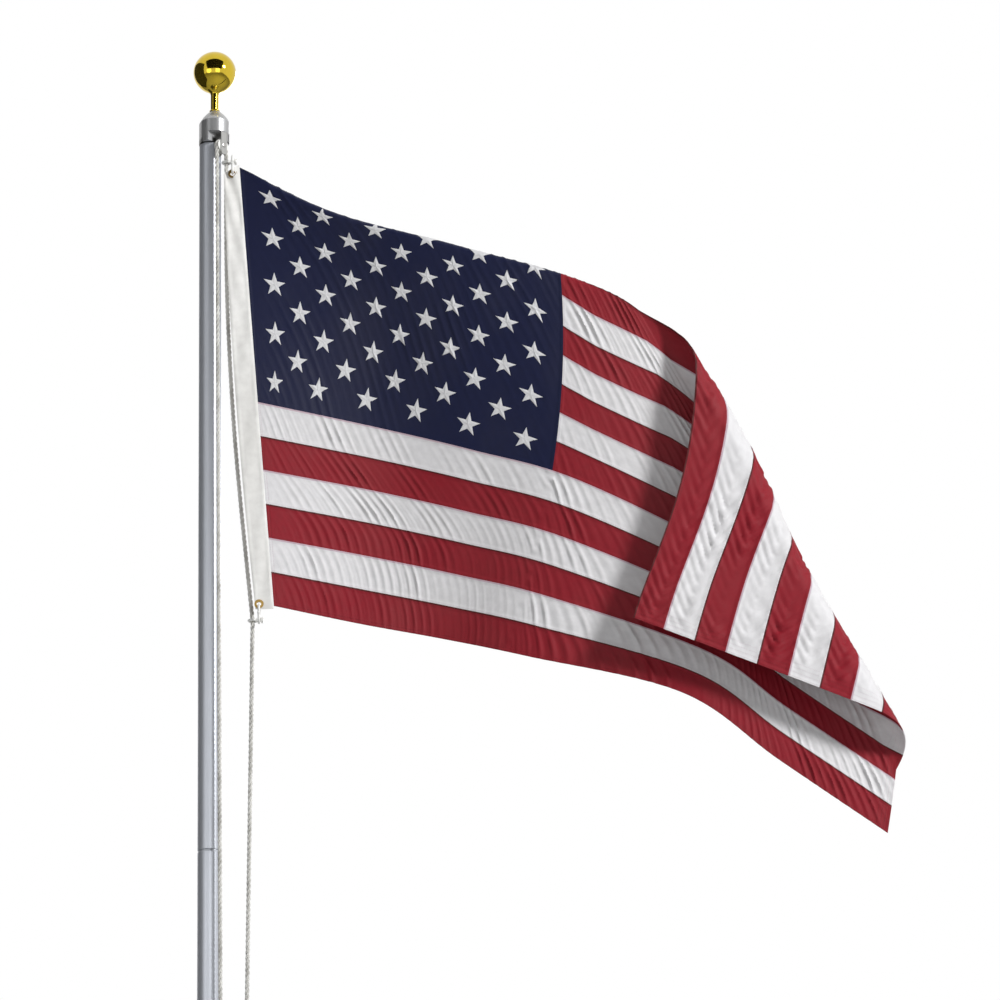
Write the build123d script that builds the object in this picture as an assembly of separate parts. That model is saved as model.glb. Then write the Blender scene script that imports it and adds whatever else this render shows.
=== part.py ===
from build123d import *
import math
import os

# Sectional aluminium flagpole from ground level up, with a hoisted flag and its halyard.
# Millimetres, +Z up, origin on the pole's axis at ground level. The flag flies towards +X
# and the side that shows its lit face looks towards -Y.

# Pole
pole_diameter = 44.45
pole_wall = 1.6
section_pitch = 1464.0
section_count = 4
lowest_section_height = 1115.0
neck_length = 60.0
neck_clearance = 0.3
shoulder_height = 5.0

# Foot plug
foot_flange_thickness = 3.0
foot_spigot_length = 30.0
foot_spigot_wall = 3.0

# Truck at the pole's top
truck_turn = -45.0
truck_reach = 13.4
truck_socket_radius = 22.9
truck_nose_radius = 28.8
truck_side_height = 46.0
truck_dome_height = 24.0
truck_dome_inset = 20.0
truck_dome_bow = 0.55
truck_dome_steps = 4
truck_spigot_length = 45.0
truck_slot_height = 19.0
truck_slot_near_edge = -30.0
truck_slot_far_edge = 8.5
truck_pocket_far_edge = 19.0
truck_outer_wall = 3.4
truck_rim_bevel = 0.8
cut_margin = 1.0

# Sheave, its pin and its fork
sheave_drop = 10.0
rope_diameter = 9.0
rope_seat_clearance = 0.3
sheave_pitch_radius = 11.5
sheave_flange_radius = 13.6
sheave_width = 12.0
sheave_side_clearance = 0.3
sheave_rim_width = 0.4
pin_diameter = 6.0
pin_running_clearance = 0.05
pin_head_radius = 5.0
pin_head_height = 1.6
pin_inner_head_radius = 3.8
pin_inner_head_clearance = 0.5
head_crown = 0.6
fork_strap_thickness = 2.5
fork_strap_half_width = 7.5
fork_strap_below_pin = 20.0
fork_bridge_thickness = 2.5
fork_pole_clearance = 1.4

# Ball finial
ball_radius = 43.0
ball_centre_above_truck = 86.0
ball_hole_radius = 2.0
ball_hole_depth = 10.0
stem_reach = 12.4
stem_radius = 8.0
stem_collar_radius = 10.5
stem_collar_height = 4.0
stem_seat_depth = 8.0
ball_neck_radius = 16.5
ball_neck_height = 9.0
ball_neck_lip = 0.5
ball_neck_step = 1.5
ball_waist_share = 0.92

# Cleat, placed above the lowest joint
cleat_above_joint = 185.0
cleat_foot_length = 84.0
cleat_foot_width = 18.0
cleat_foot_thickness = 5.0
cleat_foot_rounding = 8.0
cleat_stem_length = 30.0
cleat_stem_width = 14.0
cleat_horn_length = 156.0
cleat_horn_gap = 24.0
cleat_horn_depth = 13.0
cleat_horn_tip_depth = 7.0
cleat_horn_lift = 3.0
cleat_horn_width = 14.0
cleat_horn_rounding = 3.0
cleat_screw_spacing = 64.0
screw_head_radius = 4.2
screw_head_height = 2.6
screw_shank_radius = 2.4
screw_hole_clearance = 0.1
screw_reach_inside = 6.0

# Flag: a 3 ft by 5 ft flag with its canvas heading, thirteen stripes and canton
flag_hoist = 914.0
flag_fly = 1524.0
heading_width = 40.0
stripe_count = 13
canton_stripes = 7
canton_width = 690.0
cloth_thickness = 3.0
heading_thickness = 3.0
heading_seam_gap = 0.9
heading_top_width = 31.0
heading_top_slope = 18.0
heading_middle_width = 43.0
heading_foot_width = 35.0
heading_overhang = 6.0
canton_stations = 14
fly_stations = 30

# The turned-over fly corner: the fold line runs from the top edge to the fly edge
fold_start_fly = 1028.0
fold_end_hoist = 792.0
fold_top_radius = 14.0
fold_foot_radius = 46.0
fold_slant = 0.478
flap_spread = 1.075
flap_direction = (-0.92, -0.05, -0.39)

# Where the cloth hangs: three rows of points, at the top edge, at the canton's foot and at
# the bottom edge, evenly spaced along the fly. Each is X, Y and its drop below the truck.
top_row = [
    (60, -26, 58), (250, -45, 165), (486, -60, 242), (747, -65, 330),
    (899, -50, 433), (1083, -30, 687), (1325, -20, 925),
]
middle_row = [
    (96, -26, 558), (326, 10, 602), (526, -15, 663), (723, -45, 737),
    (1020, -45, 897), (1134, -30, 1005), (1345, -25, 1174),
]
bottom_row = [
    (127, -26, 980), (293, 15, 1006), (454, 20, 1039), (623, -25, 1091),
    (918, -60, 1181), (1124, -60, 1337), (1301, -75, 1468),
]

# Grommets and snap rings
grommet_bore_radius = 4.5
grommet_barrel_radius = 6.0
grommet_flange_radius = 9.0
grommet_flange_thickness = 1.0
snap_wire_radius = 2.5
snap_eye_radius = 7.5
snap_link_radius = 8.0
snap_link_straight = 20.0
snap_eye_behind_heading = 12.5
snap_seat_clearance = 0.3
snap_ring_spacing = 0.5
snap_swivel_radius = 4.5
snap_swivel_head_radius = 6.0
snap_swivel_head_width = 4.0
snap_swivel_past_link = 3.5
snap_thumb_radius = 3.4
top_grommet_x = 46.0
top_grommet_below_edge = 20.0
bottom_grommet_x = 98.0
bottom_grommet_above_edge = 10.0
grommet_fit = 0.1

# Halyard route: the hoist line's points are X, Y and their drop below the truck
hoist_line_points = [(31, -16, 257), (43, -16, 537), (60, -16, 757)]
hoist_line_bend_radius = 1200.0
cleat_turn_radius = 9.0
fall_side_offset = 31.0
cleat_side_offset = 20.0
cleat_rope_reach = 14.3
cleat_cross_height = 45.0
cleat_cross_rise = 10.0
cleat_cross_offset = 17.0
rope_clearance = 1.0
rope_bend_share = 0.45
hoist_line_lead = 15.0
cleat_lead_height = 100.0
fall_side_back_offset = 24.0

# Sizes worked out from those above
pole_radius = pole_diameter / 2
pole_bore_radius = pole_radius - pole_wall
neck_radius = pole_bore_radius - neck_clearance
neck_bore_radius = neck_radius - pole_wall
truck_base = lowest_section_height + (section_count - 1) * section_pitch
truck_shoulder = truck_base + truck_side_height
truck_top = truck_shoulder + truck_dome_height
cleat_height = lowest_section_height + cleat_above_joint
rope_radius = rope_diameter / 2
fork_inner_reach = pole_radius + fork_pole_clearance
sheave_inner_reach = fork_inner_reach + fork_strap_thickness + sheave_side_clearance
sheave_outer_reach = sheave_inner_reach + sheave_width
fork_outer_reach = sheave_outer_reach + sheave_side_clearance
rope_reach = (sheave_inner_reach + sheave_outer_reach) / 2
sheave_height = truck_base - sheave_drop
cloth_fly = flag_fly - heading_width
stripe_height = flag_hoist / stripe_count
canton_height = stripe_height * canton_stripes
fold_run = cloth_fly - fold_start_fly
fold_length = math.hypot(fold_run, fold_end_hoist)
heading_plane = top_row[0][1]
heading_top = truck_base - top_row[0][2] + heading_overhang
heading_foot = truck_base - bottom_row[0][2] - heading_overhang
top_grommet_height = heading_top - top_grommet_below_edge
bottom_grommet_height = heading_foot + bottom_grommet_above_edge

# The truck's own frame: X points out from the pole to the sheave, Y runs along the falls
truck_frame = Plane.XY.rotated((0, 0, truck_turn))


def ring_profile(points):
    """Solid of revolution about Z from a closed outline of (radius, height) points."""
    outline = make_face(Plane.XZ * Polyline(*points, close=True))
    return revolve(outline, axis=Axis.Z)


def in_truck(reach, along, height):
    """A point given outwards from the pole, along the falls and above the ground."""
    turn = math.radians(truck_turn)
    return (
        reach * math.cos(turn) - along * math.sin(turn),
        reach * math.sin(turn) + along * math.cos(turn),
        height,
    )


def rope_corner_radii(points, largest):
    """One bend radius for each inner point, as large as its two runs allow."""
    radii = []
    for before, corner, after in zip(points, points[1:], points[2:]):
        back = Vector(*corner) - Vector(*before)
        ahead = Vector(*after) - Vector(*corner)
        turn = math.radians(back.get_angle(ahead))
        room = rope_bend_share * min(back.length, ahead.length) / math.tan(turn / 2)
        radii.append(min(largest, room))
    return radii


def rope(points, largest):
    """Round rope along straight runs joined by tangent arcs."""
    radii = rope_corner_radii(points, largest)
    path = FilletPolyline(*points, radius=radii)
    section = Plane(path @ 0, z_dir=path % 0) * Circle(rope_radius)
    return sweep(section, path=path)


def straight_rope(start, end):
    """Round rope pulled straight between two points."""
    path = Line(start, end)
    section = Plane(path @ 0, z_dir=path % 0) * Circle(rope_radius)
    return sweep(section, path=path)


# Pole sections: each has a swaged neck that fills the foot of the section above
def pole_section(foot, head, has_neck):
    """One tube from foot to head, with a conical shoulder and a neck above it."""
    if not has_neck:
        return ring_profile([
            (pole_radius, foot), (pole_radius, head),
            (pole_bore_radius, head), (pole_bore_radius, foot),
        ])
    return ring_profile([
        (pole_radius, foot),
        (pole_radius, head - shoulder_height),
        (neck_radius, head),
        (neck_radius, head + neck_length),
        (neck_bore_radius, head + neck_length),
        (neck_bore_radius, head),
        (pole_bore_radius, head - shoulder_height),
        (pole_bore_radius, foot),
    ])


def pole_sections():
    """All sections from the ground up, by node name."""
    hole_radius = screw_shank_radius + screw_hole_clearance
    sections = {}
    foot = foot_flange_thickness
    head = lowest_section_height
    for number in range(1, section_count + 1):
        section = pole_section(foot, head, number < section_count)
        for height in screw_heights():
            if foot < height < head:
                section -= Pos(pole_radius, 0, height) * Rot(0, 90, 0) * Cylinder(
                    hole_radius, pole_radius)
        sections[f"pole_section_{number}"] = section
        foot = head
        head = head + section_pitch
    return sections


def foot_plug():
    """Plug in the lowest section's foot, with the flat face that stands on the ground."""
    spigot_top = foot_flange_thickness + foot_spigot_length
    return ring_profile([
        (0, 0), (pole_radius, 0),
        (pole_radius, foot_flange_thickness),
        (neck_radius, foot_flange_thickness),
        (neck_radius, spigot_top),
        (neck_radius - foot_spigot_wall, spigot_top),
        (neck_radius - foot_spigot_wall, foot_flange_thickness),
        (0, foot_flange_thickness),
    ])


# Truck: an egg-shaped cap over the pole's top, reaching out over the sheave
def truck_outline(inset):
    """Outline of the cap: the pole's socket and the nose, joined by tangents."""
    return make_hull([
        *Circle(truck_socket_radius - inset).edges(),
        *(Pos(truck_reach, 0) * Circle(truck_nose_radius - inset)).edges(),
    ])


def truck_dome():
    """Ogive dome: outlines that draw in along a parabola as they rise."""
    outlines = []
    for step in range(truck_dome_steps + 1):
        rise = step / truck_dome_steps
        draw = truck_dome_inset * ((1 - truck_dome_bow) * rise + truck_dome_bow * rise**2)
        outlines.append(Pos(0, 0, truck_shoulder + truck_dome_height * rise) * truck_outline(draw))
    return loft(outlines)


def truck_block(near, far, inner, outer, top):
    """Box cut upwards from below the cap's rim, in the truck's own frame."""
    bottom = truck_base - cut_margin
    centre = Pos((inner + outer) / 2, (near + far) / 2, (bottom + top) / 2)
    return centre * Box(outer - inner, far - near, top - bottom)


def truck_cap():
    """Cap with its ogive dome, spigot, sheave slot, pocket and the stem's seat."""
    cap = Pos(0, 0, truck_base) * extrude(truck_outline(0), truck_side_height)
    cap = chamfer(cap.edges().group_by(Axis.Z)[0], truck_rim_bevel)
    cap += truck_dome()
    slot_top = truck_base + truck_slot_height
    nose = truck_reach + truck_nose_radius
    cap -= truck_block(truck_slot_near_edge, truck_slot_far_edge,
                       fork_inner_reach, nose + cut_margin, slot_top)
    cap -= truck_block(0, truck_pocket_far_edge,
                       fork_inner_reach, nose - truck_outer_wall, slot_top)
    spigot_base = truck_base - truck_spigot_length
    cap += Pos(0, 0, spigot_base) * extrude(Circle(neck_radius), truck_spigot_length)
    seat = Pos(stem_reach, 0, truck_top - stem_seat_depth)
    cap -= seat * extrude(Circle(stem_radius), stem_seat_depth + cut_margin)
    return truck_frame.location * cap


def fork_strap(reach):
    """One strap of the fork, rounded at its foot and bored for the pin."""
    top = truck_base + truck_slot_height - fork_bridge_thickness
    bend = sheave_height - fork_strap_below_pin + fork_strap_half_width
    side = fork_strap_half_width
    outline = Pos(0, (top + bend) / 2) * Rectangle(2 * side, top - bend)
    outline += Pos(0, bend) * Circle(side)
    outline -= Pos(0, sheave_height) * Circle(pin_diameter / 2)
    return extrude(Plane((reach, 0, 0), x_dir=(0, 1, 0), z_dir=(1, 0, 0)) * outline,
                   fork_strap_thickness)


def sheave_fork():
    """Two straps and the bridge that carries them under the slot's ceiling."""
    top = truck_base + truck_slot_height
    outer = fork_outer_reach + fork_strap_thickness
    bridge = Pos((fork_inner_reach + outer) / 2, 0, top - fork_bridge_thickness / 2)
    fork = bridge * Box(outer - fork_inner_reach, 2 * fork_strap_half_width,
                        fork_bridge_thickness)
    fork += fork_strap(fork_inner_reach)
    fork += fork_strap(fork_outer_reach)
    return truck_frame.location * fork


def sheave_axle_frame():
    """Frame on the sheave's axis, with Z pointing out from the pole."""
    return Plane(in_truck(rope_reach, 0, sheave_height), x_dir=(0, 0, 1),
                 z_dir=in_truck(1, 0, 0))


def sheave():
    """Grooved wheel: the rope lies in a round groove between two flanges."""
    half = sheave_width / 2
    groove = rope_radius + rope_seat_clearance
    bore = pin_diameter / 2 + pin_running_clearance
    mouth_radius = sheave_flange_radius + cut_margin
    wheel = Cylinder(sheave_flange_radius, sheave_width)
    wheel -= Torus(sheave_pitch_radius, groove)
    mouth = ring_profile([
        (sheave_pitch_radius, -groove), (mouth_radius, -half + sheave_rim_width),
        (mouth_radius, half - sheave_rim_width), (sheave_pitch_radius, groove),
    ])
    wheel -= mouth
    wheel -= Cylinder(bore, sheave_width + cut_margin)
    return sheave_axle_frame().location * wheel


def sheave_pin():
    """Pin through both straps, with a rivet head against each."""
    inner = fork_inner_reach - rope_reach
    outer = fork_outer_reach + fork_strap_thickness - rope_reach
    inner_head = inner - fork_pole_clearance + pin_inner_head_clearance
    head_edge = outer + pin_head_height * head_crown
    pin = ring_profile([
        (0, inner_head), (pin_inner_head_radius, inner_head), (pin_inner_head_radius, inner),
        (pin_diameter / 2, inner), (pin_diameter / 2, outer),
        (pin_head_radius, outer), (pin_head_radius, head_edge),
        (pin_head_radius * head_crown, outer + pin_head_height), (0, outer + pin_head_height),
    ])
    return sheave_axle_frame().location * pin


# Ball finial on its stem
def finial_centre():
    """Axis of the stem and ball, and the height of the ball's centre."""
    x, y, _ = in_truck(stem_reach, 0, 0)
    return x, y, truck_top + ball_centre_above_truck


def ball_stem():
    """Spindle from its seat in the truck up to the ball's neck, with a collar on the dome."""
    x, y, centre = finial_centre()
    seat = truck_top - stem_seat_depth
    neck = centre - ball_radius - ball_neck_height / 2
    stem = ring_profile([
        (0, seat), (stem_radius, seat), (stem_radius, truck_top),
        (stem_collar_radius, truck_top),
        (stem_collar_radius, truck_top + stem_collar_height / 2),
        (stem_radius, truck_top + stem_collar_height),
        (stem_radius, neck), (0, neck),
    ])
    return Pos(x, y, 0) * stem


def ball_finial():
    """Spun ball with a flared neck below and the small vent hole on top."""
    x, y, centre = finial_centre()
    foot = centre - ball_radius - ball_neck_height / 2
    waist = centre - ball_radius * ball_waist_share
    lip_radius = stem_radius + ball_neck_lip
    ball = Pos(0, 0, centre) * Sphere(ball_radius)
    neck = ring_profile([
        (0, foot), (lip_radius, foot), (lip_radius, foot + ball_neck_step),
        (ball_neck_radius, waist), (0, waist),
    ])
    ball += neck
    ball -= Pos(0, 0, centre + ball_radius - ball_hole_depth) * Cylinder(
        ball_hole_radius, 2 * ball_hole_depth, align=(Align.CENTER, Align.CENTER, Align.MIN))
    return Pos(x, y, 0) * ball


# Flag
def spline_through(row, place):
    """Point on the smooth curve through an evenly spaced row, place from 0 to 1."""
    last = len(row) - 1
    scaled = min(max(place, 0.0), 1.0) * last
    first = min(int(scaled), last - 1)
    t = scaled - first
    start, end = row[first], row[first + 1]
    before = row[first - 1] if first > 0 else tuple(2 * a - b for a, b in zip(start, end))
    after = row[first + 2] if first + 2 <= last else tuple(2 * b - a for a, b in zip(start, end))
    return tuple(
        0.5 * (2 * b + (c - a) * t + (2 * a - 5 * b + 4 * c - d) * t**2
               + (3 * b - a - 3 * c + d) * t**3)
        for a, b, c, d in zip(before, start, end, after)
    )


def open_sheet(fly, hoist):
    """Place of a cloth point before the corner turns over."""
    place = fly / cloth_fly
    t = hoist / flag_hoist
    m = canton_stripes / stripe_count
    top = spline_through(top_row, place)
    middle = spline_through(middle_row, place)
    bottom = spline_through(bottom_row, place)
    weights = ((t - m) * (t - 1) / m, t * (t - 1) / (m * (m - 1)), t * (t - m) / (1 - m))
    x, y, drop = (
        weights[0] * a + weights[1] * b + weights[2] * c for a, b, c in zip(top, middle, bottom)
    )
    return Vector(x, y, truck_base - drop)


def flag_point(fly, hoist):
    """Place of a cloth point, given from the heading along the fly and down the hoist."""
    along_fly, down_hoist = fold_run / fold_length, fold_end_hoist / fold_length
    beyond = (fly - fold_start_fly) * down_hoist - hoist * along_fly
    if beyond <= 0:
        return open_sheet(fly, hoist)
    foot = (fly - fold_start_fly) * along_fly + hoist * down_hoist + fold_slant * beyond
    crest = open_sheet(fold_start_fly + foot * along_fly, foot * down_hoist)
    growth = min(max(foot / fold_length, 0.0), 1.0)
    radius = fold_top_radius + (fold_foot_radius - fold_top_radius) * growth
    inwards = Vector(flap_direction[0], 0, flap_direction[2])
    turn = beyond / radius
    if turn < math.pi:
        rolled = inwards * (-radius * math.sin(turn))
        return crest + rolled - Vector(0, radius * (1 - math.cos(turn)), 0)
    past_roll = flap_spread * (beyond - math.pi * radius)
    return crest + Vector(*flap_direction) * past_roll - Vector(0, 2 * radius, 0)


def cloth_normal(fly, hoist):
    """Direction square to the cloth, towards the side that faces -Y at the hoist."""
    step = 2.0
    along = flag_point(min(fly + step, cloth_fly), hoist) - flag_point(max(fly - step, 0), hoist)
    down = flag_point(fly, min(hoist + step, flag_hoist)) - flag_point(fly, max(hoist - step, 0))
    return down.cross(along).normalized()


def spaced(start, end, count):
    """Evenly spaced values from start to end, with both ends."""
    return [start + (end - start) * i / count for i in range(count + 1)]


canton_flies = spaced(0, canton_width, canton_stations)
free_flies = spaced(canton_width, cloth_fly, fly_stations)


def cloth_panel(flies, hoists):
    """Thin closed solid between two skins that follow the cloth, at the given stations."""
    columns, rows = len(flies) - 1, len(hoists) - 1
    front, back = {}, {}
    for i, fly in enumerate(flies):
        for j, hoist in enumerate(hoists):
            middle = flag_point(fly, hoist)
            half = cloth_normal(fly, hoist) * (cloth_thickness / 2)
            front[i, j] = middle + half
            back[i, j] = middle - half
    faces = []

    def corner_pair(a, b, c, d):
        faces.append(Face(Wire.make_polygon([a, b, c], close=True)))
        faces.append(Face(Wire.make_polygon([a, c, d], close=True)))

    for i in range(columns):
        for j in range(rows):
            for skin in (front, back):
                corner_pair(skin[i, j], skin[i + 1, j], skin[i + 1, j + 1], skin[i, j + 1])
    for i in range(columns):
        for j in (0, rows):
            corner_pair(front[i, j], front[i + 1, j], back[i + 1, j], back[i, j])
    for j in range(rows):
        for i in (0, columns):
            corner_pair(front[i, j], front[i, j + 1], back[i, j + 1], back[i, j])
    return Solid(Shell(faces))


def flag_stripes():
    """Thirteen stripes, the upper seven starting at the canton, by node name."""
    stripes = {}
    for number in range(1, stripe_count + 1):
        flies = free_flies if number <= canton_stripes else canton_flies[:-1] + free_flies
        hoists = [(number - 1) * stripe_height, number * stripe_height]
        stripes[f"flag_stripe_{number:02d}"] = cloth_panel(flies, hoists)
    return stripes


def flag_canton():
    """Field beside the heading, seven stripes high."""
    return cloth_panel(canton_flies, spaced(0, canton_height, canton_stripes))


def flag_heading():
    """Canvas strip along the hoist edge, punched for two grommets."""
    right_top = (top_row[0][0] - heading_seam_gap, heading_top)
    right_foot = (bottom_row[0][0] - heading_seam_gap, heading_foot)
    left_top = (right_top[0] - heading_top_width, heading_top - heading_top_slope)
    left_foot = (right_foot[0] - heading_foot_width, heading_foot)
    left_middle = (middle_row[0][0] - heading_middle_width, truck_base - middle_row[0][2])
    outline = make_face(Plane.XZ * (
        Polyline(left_foot, right_foot, right_top, left_top)
        + ThreePointArc(left_top, left_middle, left_foot)
    ))
    back = heading_plane + heading_thickness / 2
    strip = extrude(Pos(0, back, 0) * outline, heading_thickness, dir=(0, -1, 0))
    for x, height in grommet_places():
        strip -= Pos(x, heading_plane, height) * Rot(90, 0, 0) * Cylinder(
            grommet_barrel_radius + grommet_fit, 2 * heading_thickness)
    return strip


def grommet_places():
    """Centre of each grommet in the heading's plane."""
    return [(top_grommet_x, top_grommet_height), (bottom_grommet_x, bottom_grommet_height)]


def grommet(x, height):
    """Rolled ring with a flange on each face of the heading."""
    half = heading_thickness / 2
    flange = half + grommet_flange_thickness
    ring = ring_profile([
        (grommet_bore_radius, -flange), (grommet_flange_radius, -flange),
        (grommet_flange_radius, -half), (grommet_barrel_radius, -half),
        (grommet_barrel_radius, half), (grommet_flange_radius, half),
        (grommet_flange_radius, flange), (grommet_bore_radius, flange),
    ])
    return Pos(x, heading_plane, height) * Rot(90, 0, 0) * ring


def snap_lift(height, edge_height):
    """Distances from the grommet to the link's two arc centres, signed towards the edge."""
    towards_edge = math.copysign(1, edge_height - height)
    near = snap_link_radius + grommet_bore_radius - snap_wire_radius - snap_seat_clearance
    return towards_edge * near, towards_edge * (near + snap_link_straight)


def snap_eye_place(x, height, edge_height):
    """Centre of a snap's eye, which the halyard runs through."""
    return (x - snap_eye_radius - 2 * snap_wire_radius - snap_ring_spacing,
            heading_plane + snap_eye_behind_heading,
            height + snap_lift(height, edge_height)[1])


def snap_link(x, height, edge_height):
    """Long link through the grommet, with a round thumb piece on its gate."""
    near, far = snap_lift(height, edge_height)
    middle = height + (near + far) / 2
    link_plane = Plane((x, heading_plane, middle), x_dir=(0, 0, 1), z_dir=(1, 0, 0))
    path = (link_plane * SlotCenterToCenter(snap_link_straight, 2 * snap_link_radius)).wire()
    section = Plane(path @ 0, z_dir=path % 0) * Circle(snap_wire_radius)
    thumb = Pos(x, heading_plane - snap_link_radius, middle) * Sphere(snap_thumb_radius)
    return sweep(section, path=path) + thumb


def snap(x, height, edge_height):
    """Snap: an eye round the halyard, a level swivel barrel and the link it turns."""
    eye_x, eye_y, level = snap_eye_place(x, height, edge_height)
    eye = Pos(eye_x, eye_y, level) * Torus(snap_eye_radius, snap_wire_radius)
    barrel_start = eye_x + snap_eye_radius
    barrel_end = x + snap_wire_radius + snap_swivel_past_link
    barrel_y = heading_plane + snap_link_radius + snap_wire_radius / 2
    barrel = Pos((barrel_start + barrel_end) / 2, barrel_y, level) * Rot(0, 90, 0) * Cylinder(
        snap_swivel_radius, barrel_end - barrel_start)
    head = Pos(barrel_end, barrel_y, level) * Rot(0, 90, 0) * Cylinder(
        snap_swivel_head_radius, snap_swivel_head_width)
    return snap_link(x, height, edge_height) + eye + barrel + head


top_eye = snap_eye_place(top_grommet_x, top_grommet_height, heading_top)
bottom_eye = snap_eye_place(bottom_grommet_x, bottom_grommet_height, heading_foot)


# Cleat on the pole's right side
def cleat():
    """Cleat: a foot that saddles the pole, a stem and two tapered horns."""
    foot = Pos(pole_radius, 0, cleat_height) * Box(
        2 * cleat_foot_thickness, cleat_foot_width, cleat_foot_length)
    foot = fillet(foot.edges().filter_by(Axis.X), cleat_foot_rounding)
    stem_top = pole_radius + cleat_horn_gap
    stem = Pos((pole_radius + stem_top) / 2, 0, cleat_height) * Box(
        cleat_horn_gap, cleat_stem_width, cleat_stem_length)
    half = cleat_horn_length / 2
    outer = stem_top + cleat_horn_depth
    tip_inner = stem_top + cleat_horn_lift
    tip_outer = tip_inner + cleat_horn_tip_depth
    side = make_face(Plane.XZ * (
        Polyline((tip_outer, cleat_height - half), (tip_inner, cleat_height - half),
                 (stem_top, cleat_height - cleat_stem_length / 2),
                 (stem_top, cleat_height + cleat_stem_length / 2),
                 (tip_inner, cleat_height + half), (tip_outer, cleat_height + half))
        + ThreePointArc((tip_outer, cleat_height + half), (outer, cleat_height),
                        (tip_outer, cleat_height - half))
    ))
    horns = extrude(side, cleat_horn_width / 2, both=True)
    horns = fillet(horns.edges().filter_by(GeomType.CIRCLE), cleat_horn_rounding)
    body = foot + stem + horns
    for height in screw_heights():
        body -= Pos(pole_radius, 0, height) * Rot(0, 90, 0) * Cylinder(
            screw_shank_radius, 4 * cleat_foot_thickness)
    body -= Pos(0, 0, cleat_height) * Cylinder(pole_radius, 2 * cleat_horn_length)
    return body


def screw_heights():
    """Heights of the cleat's two screws."""
    return [cleat_height - cleat_screw_spacing / 2, cleat_height + cleat_screw_spacing / 2]


def cleat_screw(height):
    """Pan-head screw through the cleat's foot and the pole's wall."""
    face = pole_radius + cleat_foot_thickness
    tip = pole_bore_radius - screw_reach_inside - face
    screw = ring_profile([
        (0, tip), (screw_shank_radius, tip),
        (screw_shank_radius, 0), (screw_head_radius, 0),
        (screw_head_radius, screw_head_height * head_crown),
        (screw_head_radius * head_crown, screw_head_height), (0, screw_head_height),
    ])
    return Pos(face, 0, height) * Rot(0, 90, 0) * screw


# Halyard: one loop from the cleat over the sheave, down the heading and back to the cleat
cleat_rope_x = pole_radius + cleat_rope_reach
return_fall_top = in_truck(rope_reach, -sheave_pitch_radius, sheave_height)
flag_fall_top = in_truck(rope_reach, sheave_pitch_radius, sheave_height)
return_fall_foot = (cleat_rope_x, -fall_side_offset, cleat_height + cleat_lead_height)
flag_fall_foot = (cleat_rope_x, fall_side_back_offset, cleat_height + cleat_lead_height)


def halyard_crown():
    """Half turn over the sheave and the short fall down to the top snap."""
    arc = ThreePointArc(
        return_fall_top,
        in_truck(rope_reach, 0, sheave_height + sheave_pitch_radius),
        flag_fall_top)
    section = Plane(arc @ 0, z_dir=arc % 0) * Circle(rope_radius)
    return sweep(section, path=arc) + straight_rope(flag_fall_top, top_eye)


def halyard_hoist_line():
    """Halyard along the heading between the two snaps."""
    fall = Vector(*top_eye) - Vector(*flag_fall_top)
    lead = Vector(*top_eye) + fall.normalized() * hoist_line_lead
    between = [(x, y, truck_base - drop) for x, y, drop in hoist_line_points]
    return rope([top_eye, tuple(lead), *between, bottom_eye], hoist_line_bend_radius)


def halyard_cleat_turns():
    """Turn under the lower horn, across the cleat and under the upper horn."""
    x = cleat_rope_x
    over = pole_radius + cleat_horn_gap + cleat_horn_depth + rope_radius + rope_clearance
    low, high = cleat_height - cleat_cross_height, cleat_height + cleat_cross_height
    points = [
        return_fall_foot,
        (x, -fall_side_offset, low),
        (x, cleat_side_offset, low),
        (over, cleat_side_offset, low + cleat_cross_rise),
        (over, -cleat_cross_offset, high - cleat_cross_rise),
        (x, -cleat_cross_offset, high),
        (x, fall_side_back_offset, high),
        flag_fall_foot,
    ]
    return rope(points, cleat_turn_radius)


parts = {
    "foot_plug": foot_plug(),
    **pole_sections(),
    "truck_cap": truck_cap(),
    "sheave_fork": sheave_fork(),
    "sheave": sheave(),
    "sheave_pin": sheave_pin(),
    "ball_stem": ball_stem(),
    "ball_finial": ball_finial(),
    "halyard_return_fall": straight_rope(return_fall_foot, return_fall_top),
    "halyard_crown": halyard_crown(),
    "halyard_hoist_line": halyard_hoist_line(),
    "halyard_down_fall": straight_rope(bottom_eye, flag_fall_foot),
    "halyard_cleat_turns": halyard_cleat_turns(),
    "cleat": cleat(),
    "cleat_screw_lower": cleat_screw(screw_heights()[0]),
    "cleat_screw_upper": cleat_screw(screw_heights()[1]),
    "snap_top": snap(top_grommet_x, top_grommet_height, heading_top),
    "snap_bottom": snap(bottom_grommet_x, bottom_grommet_height, heading_foot),
    "grommet_top": grommet(*grommet_places()[0]),
    "grommet_bottom": grommet(*grommet_places()[1]),
    "flag_heading": flag_heading(),
    "flag_canton": flag_canton(),
    **flag_stripes(),
}

os.makedirs("parts", exist_ok=True)
for name, shape in parts.items():
    export_step(shape, f"parts/{name}.step")
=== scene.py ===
import math
import bpy
import numpy as np
from mathutils import Matrix, Vector


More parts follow.
